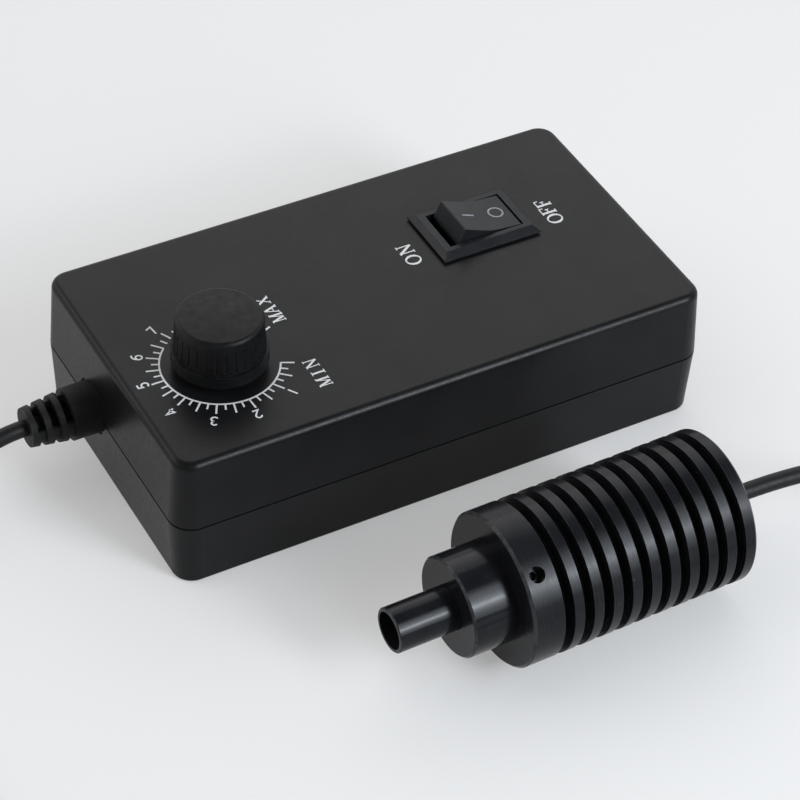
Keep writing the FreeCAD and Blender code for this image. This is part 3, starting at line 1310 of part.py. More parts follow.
def least_gap(wire):
    """Least gap between the coil's turns, measured on points along its centreline."""
    places = wire.discretize(Distance=GAP_SAMPLE)
    apart = round(4 * math.pi * CORD_RADIUS / GAP_SAMPLE)
    nearest = min((first - second).Length for number, first in enumerate(places)
                  for second in places[number + apart:])
    return nearest - 2 * CORD_RADIUS


def cord_coil():
    wire, first, last = coil_wire()
    solid = swept(wire, CORD_RADIUS, first, coil_heading(0))
    expected = math.pi * CORD_RADIUS ** 2 * wire.Length
    print(f"cord coil: length {wire.Length:.1f}, volume ratio {solid.Volume / expected:.4f}, "
          f"least gap {least_gap(wire):.2f}")
    print(f"cord coil: from {first} to {last}")
    return solid


def off_the_box(out, forward, height_share):
    """Place of the cord as it drops from the strain relief to the table."""
    height = CORD_REST + height_share * (PARTING_HEIGHT - CORD_REST)
    return point(RELIEF_END_X - out, RELIEF_Y - forward, height)


def cord_from_box():
    heading = coil_heading(0)
    entry = coil_point(0) - heading * LEAD
    points = [on_relief_axis(RELIEF_END_X),
              on_relief_axis(RELIEF_END_X - CORD_EXIT_RUN),
              off_the_box(8.7, 0.1, 0.88),
              off_the_box(18.2, 1.6, 0.62),
              off_the_box(30.7, 11.7, 0.29),
              off_the_box(37.7, 27.2, 0.07),
              off_the_box(39.8, 46.2, 0),
              entry + point(-8.3, 51.8, 0),
              entry + point(-3.3, 33.3, 0),
              entry - heading * COIL_ENTRY_RUN,
              entry]
    return tube(points, CORD_RADIUS, "cord from box")


def before_the_lamp(beyond, side, height_share):
    """Place of the cord beyond the lamp's rear end, as it comes up from the table."""
    rise = (height_share - 1) * (LAMP_RADIUS - CORD_REST)
    return lamp_point(LAMP_LENGTH + beyond, side, rise)


def cord_to_lamp():
    exit_heading = coil_heading(COIL_SWEEP)
    leaving = coil_point(COIL_SWEEP) + exit_heading * LEAD
    points = [leaving,
              leaving + exit_heading * COIL_EXIT_RUN,
              leaving + point(25.8, -1.0, -2.2),
              before_the_lamp(-61.0, -71.2, 0),
              before_the_lamp(-37.0, -71.3, 0),
              before_the_lamp(-13.0, -67.5, 0),
              before_the_lamp(8.5, -59.0, 0),
              before_the_lamp(27.5, -46.4, 0),
              before_the_lamp(40.5, -30.6, 0.15),
              before_the_lamp(42.4, -13.6, 0.54),
              before_the_lamp(31.0, -2.5, 0.88),
              lamp_point(LAMP_LENGTH + LAMP_ENTRY_RUN),
              lamp_point(LAMP_LENGTH)]
    return tube(points, CORD_RADIUS, "cord to lamp")


PIECES = [
    lower_shell, upper_shell, case_screws,
    circuit_board, board_screws, input_capacitor, output_capacitor, power_inductor, driver_chip,
    rectifier_diode, chip_resistors, power_header, lamp_header, dimmer_header, switch_header,
    knob, pot_shaft, pot_bushing, pot_case, pot_wafer, pot_wiper, pot_washer, pot_nut,
    switch_housing, switch_rocker, switch_spring, switch_plunger, contact_lever, pivot_terminal,
    contact_terminal,
    jack_housing, jack_pin, jack_contact, jack_nut,
    strain_relief, cord_tail, jack_wires, lamp_wires, pot_wires, switch_wires,
    nose_tube, lens_holder, condenser_lens, lens_ring, heat_sink, lamp_set_screw, thermal_pad,
    led_board, led_screws, led_emitter, led_dome, lamp_grommet, lamp_inner_wires,
    cord_from_box, cord_coil, cord_to_lamp,
]


def main():
    os.makedirs("parts", exist_ok=True)
    for piece in PIECES:
        shape = piece()
        shape.exportStep(f"parts/{piece.__name__}.step")
        box = shape.BoundBox
        print(f"{piece.__name__}: solids {len(shape.Solids)}, valid {shape.isValid()}, "
              f"volume {shape.Volume:.1f}, x {box.XMin:.1f} {box.XMax:.1f}, "
              f"y {box.YMin:.1f} {box.YMax:.1f}, z {box.ZMin:.1f} {box.ZMax:.1f}")


main()
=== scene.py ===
import json
import math

import bmesh
import bpy
from mathutils import Matrix, Vector


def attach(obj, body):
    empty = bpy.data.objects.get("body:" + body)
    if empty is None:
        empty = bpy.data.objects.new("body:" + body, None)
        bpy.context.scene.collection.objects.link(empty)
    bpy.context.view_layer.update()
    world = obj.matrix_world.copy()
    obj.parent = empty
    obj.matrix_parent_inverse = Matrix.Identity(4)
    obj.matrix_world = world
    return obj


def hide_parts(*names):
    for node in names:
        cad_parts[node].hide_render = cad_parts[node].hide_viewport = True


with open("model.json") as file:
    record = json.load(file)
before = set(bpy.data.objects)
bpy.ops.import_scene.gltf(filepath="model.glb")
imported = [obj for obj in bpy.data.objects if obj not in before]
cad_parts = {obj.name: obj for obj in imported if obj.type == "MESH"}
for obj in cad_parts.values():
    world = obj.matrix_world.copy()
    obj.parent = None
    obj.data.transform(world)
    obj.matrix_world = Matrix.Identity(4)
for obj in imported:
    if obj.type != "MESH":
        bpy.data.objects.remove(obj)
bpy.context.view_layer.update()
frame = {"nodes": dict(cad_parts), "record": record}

# Coaxial microscope light: materials, print, cord, floor, light and camera around the packed
# model. Sizes are in millimetres and MM turns them into the model's metres. The camera's range,
# the floor's side and the lamps are in metres.

MM = 0.001
MICROMETRE = 1e-6

# Camera, fitted to the photograph's edges. The offset is the model's origin as the camera sees
# it: to the right, up and ahead.
CAMERA_AZIMUTH = math.radians(30.422)
CAMERA_ELEVATION = math.radians(42.616)
CAMERA_ROLL = math.radians(2.867)
CAMERA_OFFSET = Vector((-5.472, 0.59, 546.178)) * MM
CAMERA_LENS = 126.986
CAMERA_SENSOR = 36.0
CAMERA_NEAR = 0.02
CAMERA_FAR = 20.0

# Cord from the box's strain relief through its put-away coil to the lamp's rear
CORD_RADIUS = 1.6
CORD_REST = 1.7
CORD_SIDES = 6
CORD_STEPS = 8
FROM_BOX = [
    (-68.3, 7.45, 13.9), (-71.3, 7.45, 13.9), (-77.0, 7.35, 12.44), (-86.5, 5.85, 9.26),
    (-99.0, -4.25, 5.24), (-106.0, -19.75, 2.55), (-108.1, -38.75, CORD_REST),
    (-106.95, -58.0, CORD_REST), (-101.95, -76.5, CORD_REST), (-98.65, -93.8, CORD_REST),
    (-98.65, -109.8, CORD_REST),
]
TO_LAMP = [
    (-71.8, -135.7, 5.5), (-62.3, -135.7, 5.5), (-46.0, -136.7, 3.3), (-26.05, -138.12, CORD_REST),
    (-2.05, -137.76, CORD_REST), (21.87, -133.49, CORD_REST), (43.2, -124.58, CORD_REST),
    (61.95, -111.61, CORD_REST), (74.64, -95.56, 3.61), (76.21, -78.53, 8.58),
    (64.6, -67.65, 12.92), (48.55, -65.46, 14.45), (33.56, -65.75, 14.45),
]
COIL_CENTRE = (-75.0, -113.0)
COIL_INNER_RADIUS = 13.2
COIL_PITCH = 3.8
COIL_LAYER = 3.8
COIL_TURNS_IN = 2.75
COIL_TURNS_OUT = 2.5
COIL_START = math.pi
COIL_CLIMB = math.pi / 2
COIL_POINTS_PER_TURN = 16

# Ink of the print, and the top panel that it lies on
PANEL_TOP = 28.7
INK_THICKNESS = 0.03
INK_STEP = 0.0006
WHITE_INK = (0.51, 0.52, 0.53)
WHITE_INK_THIN = (0.33, 0.34, 0.35)
GREY_INK = (0.18, 0.19, 0.215)
GREY_INK_THIN = (0.115, 0.12, 0.135)
MITRE_LIMIT = 0.5
SAME_PLACE = 1e-6

# Dial. Its angles are in degrees anticlockwise from +X, and its numbers run clockwise.
KNOB_CENTRE = Vector((-35.8, -7.1))
DIAL_ZERO = -25.4
DIAL_STEP = -31.06
DIAL_LAST = 21.5
TICKS_PER_NUMBER = 4
DIAL_TICKS = 40
DIAL_ARC_TICKS = 26
DIAL_ARC_RADIUS = 10.95
DIAL_ARC_POINTS = 90
LONG_TICK = 13.45
SHORT_TICK = 12.4
TICK_WIDTH = 0.34

# Numerals round the dial. Some stand a little off their tick, as printed.
NUMERAL_RADIUS = 15.1
NUMERAL_HEIGHT = 2.0
NUMERAL_STROKE = 0.33
NUMERAL_MIDDLE = 0.3
NUMERAL_ARC_STEP = 15.0
NUMERAL_SHIFT = {2: (-0.5, 0), 3: (-0.33, -0.1), 4: (-0.43, -0.3), 5: (0.15, 0.4), 7: (-0.38, -0.14)}

# Letters: a stroke's start and end, where the letter fills the square from 0 to 1, and its weight
# as a share of the letter's height
LETTER_HEIGHT = 2.9
LETTER_WIDTH = 2.65
THICK = 0.17
THIN = 0.08
SERIF = 0.07
LETTERS = {
    "M": [((0.12, 0), (0.12, 1), THIN), ((0.14, 1), (0.5, 0), THICK), ((0.5, 0), (0.86, 1), THIN),
          ((0.88, 0), (0.88, 1), THICK), ((0, 0), (0.26, 0), SERIF), ((0.72, 0), (1.04, 0), SERIF),
          ((0, 1), (0.2, 1), SERIF), ((0.84, 1), (1.04, 1), SERIF)],
    "A": [((0.1, 0), (0.5, 1), THIN), ((0.5, 1), (0.86, 0), THICK), ((0.24, 0.34), (0.72, 0.34), THIN),
          ((-0.02, 0), (0.26, 0), SERIF), ((0.7, 0), (1.02, 0), SERIF)],
    "X": [((0.14, 1), (0.84, 0), THICK), ((0.84, 1), (0.14, 0), THIN), ((0, 0), (0.3, 0), SERIF),
          ((0.68, 0), (1, 0), SERIF), ((0, 1), (0.32, 1), SERIF), ((0.7, 1), (0.98, 1), SERIF)],
    "I": [((0.5, 0), (0.5, 1), THICK), ((0.28, 0), (0.72, 0), SERIF), ((0.28, 1), (0.72, 1), SERIF)],
    "N": [((0.14, 0), (0.14, 1), THIN), ((0.14, 1), (0.84, 0), THICK), ((0.84, 0), (0.84, 1), THIN),
          ((0, 0), (0.28, 0), SERIF), ((0, 1), (0.24, 1), SERIF), ((0.7, 1), (0.98, 1), SERIF)],
    "F": [((0.26, 0), (0.26, 1), THICK), ((0.1, 0), (0.46, 0), SERIF), ((0.1, 1), (0.84, 1), THIN),
          ((0.82, 1), (0.82, 0.74), THIN), ((0.26, 0.52), (0.64, 0.52), THIN),
          ((0.62, 0.66), (0.62, 0.38), SERIF)],
}
LETTER_O_OUTER = (0.54, 0.55)
LETTER_O_INNER = (0.345, 0.455)
LETTER_O_POINTS = 36

# Words beside the knob and the switch: each word's size, and the middles of its letters
WORDS = {
    "MAX": (0.86, ((-20.9, -0.5), (-21.05, 1.95), (-21.35, 4.83))),
    "MIN": (0.85, ((-21.2, -19.8), (-21.05, -17.15), (-21.15, -14.45))),
    "ON": (1.0, ((9.6, 3.1), (9.6, 6.42))),
    "OFF": (1.0, ((40.1, 2.05), (40.05, 4.8), (40.25, 7.15))),
}

# Rocker of the switch and the marks on its dished top, about its pivot
ROCKER_PIVOT = Vector((24.8, 6.8, 25.3))
ROCKER_TILT = math.radians(13.5)
ROCKER_HALF_LENGTH = 6.45
ROCKER_RIDGE = 6.5
ROCKER_SLOPE = math.radians(8.6)
ROCKER_DISH_HALF = 2.5
ON_MARK_START = -4.2
ON_MARK_END = -1.5
ON_MARK_SIDE = 0.2
ON_MARK_STROKE = 0.42
ON_MARK_STEPS = 6
OFF_MARK_CENTRE = (3.4, 0.13)
OFF_MARK_RADIUS = 1.4
OFF_MARK_STROKE = 0.34
OFF_MARK_POINTS = 48

# Seam between the box's two shells, and how far from its middle it is dark with painted shade
SEAM_HEIGHT = 13.9
SEAM_DARK = 0.18
SEAM_EDGE = 0.3
SEAM_SHADE_COLOUR = (0.0015, 0.0015, 0.0016)

# Lamp head's axis, where along it the polish of the tube and the collar ends, and its black oxide, whose pale
# worn edges are partly a painted highlight
LAMP_TIP = Vector((-32.83, -67.04, 14.45)) * MM
LAMP_TURN = math.radians(1.11)
POLISHED_END = 19.9
BRUSHED_START = 20.1
BRUSHED_ROUGHNESS = 0.09
OXIDE_DARK = (0.0057, 0.006, 0.0072)
OXIDE_LIGHT = (0.0094, 0.0098, 0.0117)
OXIDE_WORN_AND_SHEEN = (0.05, 0.051, 0.054)
BARE_SPECK = (0.3, 0.3, 0.31)

# Strain relief's axis, and the radii between which painted shade darkens its pockets
RELIEF_AXIS = Vector((0, 7.45, 13.9)) * MM
RELIEF_POCKET_FLOOR = 2.7
RELIEF_POCKET_TOP = 3.3
RELIEF_POCKET_SHADE = (0.0008, 0.0008, 0.0008)

# Range that most of a noise texture keeps to
NOISE_LOW = 0.3
NOISE_HIGH = 0.7

# Worn edges: the cosines between a face and its bevelled edge where wear is full and where it ends
EDGE_FULL = 0.8
EDGE_NONE = 0.99
EDGE_SAMPLES = 6

# Scratches on metal: places are squeezed along Y and Z, which makes the scratches long there
SCRATCH_SQUEEZE = (1, 0.06, 0.06)

# Circuit board: the weave of its glass cloth, and its green mask
WEAVE_SIZE = 0.6
MASK_DARK = (0.012, 0.085, 0.03)
MASK_LIGHT = (0.016, 0.1, 0.038)
MASK_THICK = (0.01, 0.065, 0.025)

# Emitter's phosphor under its clear dome, and the lens
PHOSPHOR_DARK = (0.78, 0.62, 0.1)
PHOSPHOR_LIGHT = (0.88, 0.74, 0.2)
DOME_COAT = 0.6
GLASS_CLEAR = (0.96, 0.98, 1.0)
GLASS_DUSTY = (0.8, 0.8, 0.8)

# Floor, and the room's light by height, where 0 is the horizon and 1 is straight up
BLACK = (0, 0, 0)
WHITE = (1, 1, 1)
FLOOR_SIDE = 8.0
FLOOR_DROP = 0.02
FLOOR_COLOUR = (0.61, 0.61, 0.61)
FLOOR_ROUGHNESS = 0.9
FLOOR_GLOSS = 0.2
FLOOR_LIFT = 0.29
ROOM_BRIGHT = 0.95
ROOM_BRIGHT_HEIGHT = 0.62
ROOM_CEILING = 0.08
ROOM_CEILING_HEIGHT = 0.86

# Shade of the room in front of the object: where it starts and is full, from the side (0) to
# straight ahead (-1), and how deep it is above and below its own horizon
FRONT_START = 0.1
FRONT_FULL = -0.25
FRONT_SHADE = 0.6
FRONT_HORIZON_SHADE = 0.92
FRONT_HORIZON_LOW = 0.15
FRONT_HORIZON_HIGH = 0.19

# Lamps. The front banks stand in a fan, each a step further over than the one before.
LIGHT_AIM = Vector((0, -0.04, 0.01))
BANK_RADIANCES = (3.0, 6.3, 8.5, 14.5, 31.0, 12.5, 6.4, 4.4)
BANK_START = math.radians(118.8)
BANK_STEP = math.radians(7.25)
BANK_DISTANCE = 0.96
BANK_WIDTH = 0.32
BANK_COLOUR = (0.86, 0.93, 1.0)
SOFT_LAMPS = {
    "left_box": {"place": (-0.62, 0.68, 0.56), "width": 0.6, "height": 0.5, "radiance": 1.5,
                 "diffuse": False},
    "rear_box": {"place": (0.448, 0.722, 0.822), "width": 1.1, "height": 0.8, "radiance": 1.2},
    "side_window": {"place": (-0.6, 0.5, 0.75), "width": 0.7, "height": 0.7, "radiance": 1.3,
                    "glossy": False},
    "overhead": {"place": (-0.1, 0.1, 1.4), "width": 1.2, "height": 1.2, "radiance": 1.1,
                 "glossy": False},
}


# Camera

def add_camera():
    """Camera at the photograph's place, whose level axes are rolled a little about its view."""
    forward = Vector((math.sin(CAMERA_AZIMUTH) * math.cos(CAMERA_ELEVATION),
                      math.cos(CAMERA_AZIMUTH) * math.cos(CAMERA_ELEVATION),
                      -math.sin(CAMERA_ELEVATION)))
    right = Vector((math.cos(CAMERA_AZIMUTH), -math.sin(CAMERA_AZIMUTH), 0))
    up = right.cross(forward)
    side = right * math.cos(CAMERA_ROLL) + up * math.sin(CAMERA_ROLL)
    top = up * math.cos(CAMERA_ROLL) - right * math.sin(CAMERA_ROLL)
    place = -(side * CAMERA_OFFSET.x + top * CAMERA_OFFSET.y + forward * CAMERA_OFFSET.z)
    data = bpy.data.cameras.new("camera")
    data.lens = CAMERA_LENS
    data.sensor_width = CAMERA_SENSOR
    data.clip_start = CAMERA_NEAR
    data.clip_end = CAMERA_FAR
    camera = bpy.data.objects.new("camera", data)
    axes = Matrix((side, top, -forward)).transposed()
    camera.matrix_world = Matrix.Translation(place) @ axes.to_4x4()
    bpy.context.scene.collection.objects.link(camera)
    bpy.context.scene.camera = camera


# Cord

def coil_points():
    """Control points of the coil. They lie a little outside the turns, which the curve cuts inside of."""
    reversal = 2 * math.pi * COIL_TURNS_IN
    count = round(COIL_POINTS_PER_TURN * (COIL_TURNS_IN + COIL_TURNS_OUT))
    stand_off = math.cos(math.pi / COIL_POINTS_PER_TURN)
    points = []
    for number in range(count + 1):
        swept = 2 * math.pi * number / COIL_POINTS_PER_TURN
        from_reversal = swept - reversal
        radius = COIL_INNER_RADIUS + COIL_PITCH * abs(from_reversal) / (2 * math.pi)
        climb = min(max(from_reversal / COIL_CLIMB, -1), 1)
        height = CORD_REST + COIL_LAYER * (1 + math.sin(climb * math.pi / 2)) / 2
        angle = COIL_START + swept
        points.append((COIL_CENTRE[0] + radius / stand_off * math.cos(angle),
                       COIL_CENTRE[1] + radius / stand_off * math.sin(angle), height))
    return points


def add_cord(material):
    """One smooth cord in place of the model's three plain cord solids."""
    curve = bpy.data.curves.new("cord", "CURVE")
    curve.dimensions = "3D"
    curve.bevel_depth = CORD_RADIUS * MM
    curve.bevel_resolution = CORD_SIDES
    curve.resolution_u = CORD_STEPS
    curve.use_fill_caps = True
    curve.materials.append(material)
    points = FROM_BOX + coil_points() + TO_LAMP
    spline = curve.splines.new("NURBS")
    spline.points.add(len(points) - 1)
    for place, (x, y, z) in zip(spline.points, points):
        place.co = (x * MM, y * MM, z * MM, 1)
    spline.order_u = 3
    spline.use_endpoint_u = True
    cord = bpy.data.objects.new("cord", curve)
    bpy.context.scene.collection.objects.link(cord)
    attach(cord, "control_box")
    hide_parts("cord_from_box", "cord_coil", "cord_to_lamp")


# Shader building

def is_socket(value):
    return isinstance(value, bpy.types.NodeSocket)


def plug(tree, value, socket):
    """Links a value that is a socket to this socket, or sets this socket to a plain value."""
    if is_socket(value):
        tree.links.new(value, socket)
    else:
        socket.default_value = value


def calculated(tree, operation, *values):
    """Result of arithmetic on one or two values."""
    node = tree.nodes.new("ShaderNodeMath")
    node.operation = operation
    for value, socket in zip(values, node.inputs):
        plug(tree, value, socket)
    return node.outputs["Value"]


def spread_between(tree, value, low, high, start, end):
    """Value from start to end, turned into low to high and held at these beyond."""
    node = tree.nodes.new("ShaderNodeMapRange")
    plug(tree, value, node.inputs["Value"])
    plug(tree, start, node.inputs["From Min"])
    plug(tree, end, node.inputs["From Max"])
    plug(tree, low, node.inputs["To Min"])
    plug(tree, high, node.inputs["To Max"])
    return node.outputs["Result"]


def mixed_colour(tree, factor, first, second):
    """Colour between two colours, each a socket or a plain colour."""
    node = tree.nodes.new("ShaderNodeMix")
    node.data_type = "RGBA"
    plug(tree, factor, node.inputs["Factor"])
    ends = [socket for socket in node.inputs if socket.type == "RGBA"]
    for value, socket in zip((first, second), ends):
        plug(tree, value if is_socket(value) else (*value, 1), socket)
    return next(socket for socket in node.outputs if socket.type == "RGBA")


class Surface:
    """A material on its way: its shader, and short calls for the textures that feed it."""

    def __init__(self, name, metallic=0.0, ior=1.45):
        self.material = bpy.data.materials.new(name)
        self.material.use_nodes = True
        self.tree = self.material.node_tree
        self.shader = self.tree.nodes["Principled BSDF"]
        self.shader.inputs["Metallic"].default_value = metallic
        self.shader.inputs["IOR"].default_value = ior
        self.place = self.node("ShaderNodeTexCoord").outputs["Object"]
        self.normal = None

    def node(self, kind, **settings):
        """New node with these settings."""
        node = self.tree.nodes.new(kind)
        for name, value in settings.items():
            setattr(node, name, value)
        return node

    def feed(self, node, **values):
        """Sets or links a node's inputs, by name with _ for a space."""
        for name, value in values.items():
            plug(self.tree, value, node.inputs[name.replace("_", " ")])
        return node

    def noise(self, size, detail=2.0, vector=None, distortion=0.0):
        """Noise between 0 and 1 whose blotches are about size millimetres."""
        texture = self.node("ShaderNodeTexNoise")
        self.feed(texture, Vector=vector or self.place, Scale=1 / (size * MM), Detail=detail,
                  Distortion=distortion)
        return texture.outputs["Fac"]

    def spread(self, value, low, high, start=NOISE_LOW, end=NOISE_HIGH):
        """Value from start to end, turned into low to high."""
        return spread_between(self.tree, value, low, high, start, end)

    def calculate(self, operation, *values):
        return calculated(self.tree, operation, *values)

    def mix(self, factor, first, second):
        return mixed_colour(self.tree, factor, first, second)

    def bump(self, height, depth, strength=1.0):
        """Adds relief of depth micrometres to what is there already."""
        node = self.node("ShaderNodeBump")
        self.feed(node, Height=height, Distance=depth * MICROMETRE, Strength=strength)
        if self.normal is not None:
            self.feed(node, Normal=self.normal)
        self.normal = node.outputs["Normal"]
        self.feed(self.shader, Normal=self.normal)

    def dot(self, first, second):
        """How far two directions agree, from -1 to 1."""
        node = self.node("ShaderNodeVectorMath", operation="DOT_PRODUCT")
        plug(self.tree, first, node.inputs[0])
        plug(self.tree, second, node.inputs[1])
        return node.outputs["Value"]

    def true_normal(self):
        return self.node("ShaderNodeNewGeometry").outputs["True Normal"]

    def axis_place(self, start, turn=0.0):
        """Place along an axis that starts at start and is turned off X, and distance from that axis."""
        shift = self.node("ShaderNodeVectorMath", operation="SUBTRACT")
        plug(self.tree, self.place, shift.inputs[0])
        plug(self.tree, start, shift.inputs[1])
        turned = self.node("ShaderNodeMapping")
        self.feed(turned, Vector=shift.outputs["Vector"], Rotation=(0, 0, -turn))
        parts = self.feed(self.node("ShaderNodeSeparateXYZ"), Vector=turned.outputs["Vector"])
        across = self.node("ShaderNodeCombineXYZ")
        self.feed(across, Y=parts.outputs["Y"], Z=parts.outputs["Z"])
        radius = self.node("ShaderNodeVectorMath", operation="LENGTH")
        plug(self.tree, across.outputs["Vector"], radius.inputs[0])
        return parts.outputs["X"], radius.outputs["Value"]

    def facing(self, turn):
        """How far a face looks along the axis turned off X: 0 across it, 1 at its end faces."""
        return self.calculate("ABSOLUTE", self.dot(self.true_normal(), (math.cos(turn), math.sin(turn), 0)))

    def edges(self, radius):
        """Mask that is 1 on sharp and rounded edges up to radius millimetres."""
        bevel = self.feed(self.node("ShaderNodeBevel", samples=EDGE_SAMPLES), Radius=radius * MM)
        agreement = self.dot(bevel.outputs["Normal"], self.true_normal())
        return self.spread(agreement, low=1, high=0, start=EDGE_FULL, end=EDGE_NONE)

    def source(self, name):
        """What feeds one of the shader's inputs now."""
        return self.shader.inputs[name].links[0].from_socket

    def colour(self, value):
        self.feed(self.shader, Base_Color=value)

    def rough(self, value):
        self.feed(self.shader, Roughness=value)


def moulded(name, dark, light, blotch, grain, grain_depth, rough, wear=None, wear_radius=0.0, ior=1.45):
    """Moulded plastic or rubber: uneven colour, a fine texture and paler worn edges."""
    surface = Surface(name, ior=ior)
    tone = surface.mix(surface.spread(surface.noise(size=blotch, detail=3), low=0, high=1), dark, light)
    if wear:
        patches = surface.spread(surface.noise(size=1.7, detail=4), low=0.25, high=1, start=0.4, end=0.65)
        worn = surface.calculate("MULTIPLY", surface.edges(wear_radius), patches)
        tone = surface.mix(worn, tone, wear)
    surface.colour(tone)
    surface.rough(surface.spread(surface.noise(size=3 * grain, detail=3), *rough))
    surface.bump(surface.noise(size=grain), depth=grain_depth)
    return surface


def metal(name, dark, light, rough, scratch, scratch_depth):
    """Bare or plated metal with uneven tone and fine scratches."""
    surface = Surface(name, metallic=1.0)
    surface.colour(surface.mix(surface.spread(surface.noise(size=3.0, detail=4), low=0, high=1), dark, light))
    squeezed = surface.feed(surface.node("ShaderNodeMapping"), Vector=surface.place, Scale=SCRATCH_SQUEEZE)
    scratches = surface.noise(size=scratch, detail=3, vector=squeezed.outputs["Vector"])
    surface.rough(surface.spread(scratches, *rough))
    surface.bump(scratches, depth=scratch_depth)
    return surface


# Materials

def case_plastic():
    """Black ABS of the box, finely textured by its mould, with painted shade that makes it dark and dull down
    in its seam.
    """
    surface = moulded("case_plastic", dark=(0.0042, 0.0043, 0.0047), light=(0.0066, 0.0067, 0.0073),
                      blotch=9.0, grain=0.32, grain_depth=7.0, rough=(0.3, 0.38),
                      wear=(0.05, 0.05, 0.053), wear_radius=0.3, ior=1.25)
    height = surface.feed(surface.node("ShaderNodeSeparateXYZ"), Vector=surface.place).outputs["Z"]
    # Painted shade: near the seam the plastic is coloured near black and made dull, in place of the shadow in
    # its groove.
    off_seam = surface.calculate("ABSOLUTE", surface.calculate("SUBTRACT", height, SEAM_HEIGHT * MM))
    seam_shade = surface.spread(off_seam, low=1, high=0, start=SEAM_DARK * MM, end=SEAM_EDGE * MM)
    surface.colour(surface.mix(seam_shade, surface.source("Base Color"), SEAM_SHADE_COLOUR))
    surface.rough(surface.calculate("MAXIMUM", seam_shade, surface.source("Roughness")))
    surface.bump(surface.noise(size=14.0, detail=1), depth=60.0)
    surface.bump(surface.noise(size=1.6), depth=4.0)
    return surface.material


def knob_plastic():
    """Black plastic of the knob, with a coarser texture than the box."""
    surface = moulded("knob_plastic", dark=(0.0016, 0.0016, 0.0018), light=(0.0045, 0.0046, 0.005),
                      blotch=2.0, grain=0.4, grain_depth=8.0, rough=(0.4, 0.55),
                      wear=(0.03, 0.03, 0.032), wear_radius=0.2, ior=1.28)
    surface.bump(surface.noise(size=1.1, detail=3), depth=12.0)
    return surface.material


def switch_plastic():
    return moulded("switch_plastic", dark=(0.0074, 0.008, 0.0091), light=(0.0114, 0.0123, 0.0139),
                   blotch=4.0, grain=0.22, grain_depth=3.0, rough=(0.28, 0.38),
                   wear=(0.055, 0.057, 0.062), wear_radius=0.25, ior=1.26).material


def relief_rubber():
    """Matt rubber, with painted shade that makes it nearly black down in the pockets between its ribs."""
    surface = moulded("relief_rubber", dark=(0.0065, 0.0064, 0.0066), light=(0.0115, 0.0112, 0.0114),
                      blotch=2.2, grain=0.3, grain_depth=10.0, rough=(0.5, 0.66),
                      wear=(0.022, 0.022, 0.024), wear_radius=0.2, ior=1.3)
    radius = surface.axis_place(RELIEF_AXIS)[1]
    # Painted shade: the rubber is coloured nearly black deep in the pockets, where shadow falls.
    pocket_shade = surface.spread(radius, low=1, high=0, start=RELIEF_POCKET_FLOOR * MM, end=RELIEF_POCKET_TOP * MM)
    surface.colour(surface.mix(pocket_shade, surface.source("Base Color"), RELIEF_POCKET_SHADE))
    surface.bump(surface.noise(size=1.3), depth=12.0)
    return surface.material


def cord_rubber():
    """Smooth PVC jacket with faint scuffs."""
    surface = moulded("cord_rubber", dark=(0.004, 0.004, 0.0044), light=(0.007, 0.007, 0.0076),
                      blotch=6.0, grain=0.35, grain_depth=5.0, rough=(0.42, 0.55), ior=1.32)
    scuffs = surface.noise(size=0.9, detail=5, distortion=1.5)
    surface.bump(surface.spread(scuffs, low=0, high=1, start=0.62, end=0.75), depth=5.0)
    return surface.material


def black_anodised():
    """Turned aluminium under black oxide: fine rings, chamfers and edges paler with wear and a painted
    highlight, a polished front and a duller body.
    """
    surface = Surface("black_anodised", ior=1.24)
    along, radius = surface.axis_place(LAMP_TIP, LAMP_TURN)
    rings = surface.feed(surface.node("ShaderNodeCombineXYZ"), X=along, Y=radius)
    turning = surface.noise(size=0.16, detail=3, vector=rings.outputs["Vector"])
    facing = surface.facing(LAMP_TURN)
    off_side = surface.spread(facing, low=0, high=1, start=0.4, end=0.5)
    off_end = surface.spread(facing, low=1, high=0, start=0.84, end=0.9)
    chamfer = surface.calculate("MULTIPLY", off_side, off_end)
    patches = surface.spread(surface.noise(size=1.2, detail=4), low=0.35, high=1, start=0.4, end=0.7)
    # Wear and painted highlight: chamfers and edges, in patches, are coloured paler, like the light lines
    # they catch.
    edges = surface.calculate("MAXIMUM", surface.edges(radius=0.2), chamfer)
    worn = surface.calculate("MULTIPLY", edges, patches)
    specks = surface.spread(surface.noise(size=0.5, detail=5), low=0, high=0.4, start=0.72, end=0.76)
    blotches = surface.spread(surface.noise(size=5.0, detail=3), low=0, high=1)
    oxide = surface.mix(blotches, OXIDE_DARK, OXIDE_LIGHT)
    surface.colour(surface.mix(specks, surface.mix(worn, oxide, OXIDE_WORN_AND_SHEEN), BARE_SPECK))
    brushed = surface.spread(along, low=0.0, high=BRUSHED_ROUGHNESS, start=POLISHED_END * MM,
                             end=BRUSHED_START * MM)
    surface.rough(surface.calculate("ADD", surface.spread(turning, low=0.12, high=0.2), brushed))
    surface.bump(turning, depth=3.0)
    surface.bump(surface.noise(size=0.45, detail=3), depth=1.6)
    return surface.material


def steel():
    return metal("steel", dark=(0.5, 0.5, 0.49), light=(0.66, 0.66, 0.65), rough=(0.24, 0.42),
                 scratch=0.5, scratch_depth=3.0).material


def black_steel():
    return metal("black_steel", dark=(0.03, 0.03, 0.032), light=(0.06, 0.06, 0.064), rough=(0.3, 0.45),
                 scratch=0.5, scratch_depth=4.0).material


def brass_contact():
    return metal("brass_contact", dark=(0.62, 0.47, 0.2), light=(0.76, 0.6, 0.3), rough=(0.22, 0.4),
                 scratch=0.5, scratch_depth=3.0).material


def plated_can():
    return metal("plated_can", dark=(0.62, 0.62, 0.63), light=(0.76, 0.76, 0.77), rough=(0.2, 0.32),
                 scratch=0.8, scratch_depth=2.0).material


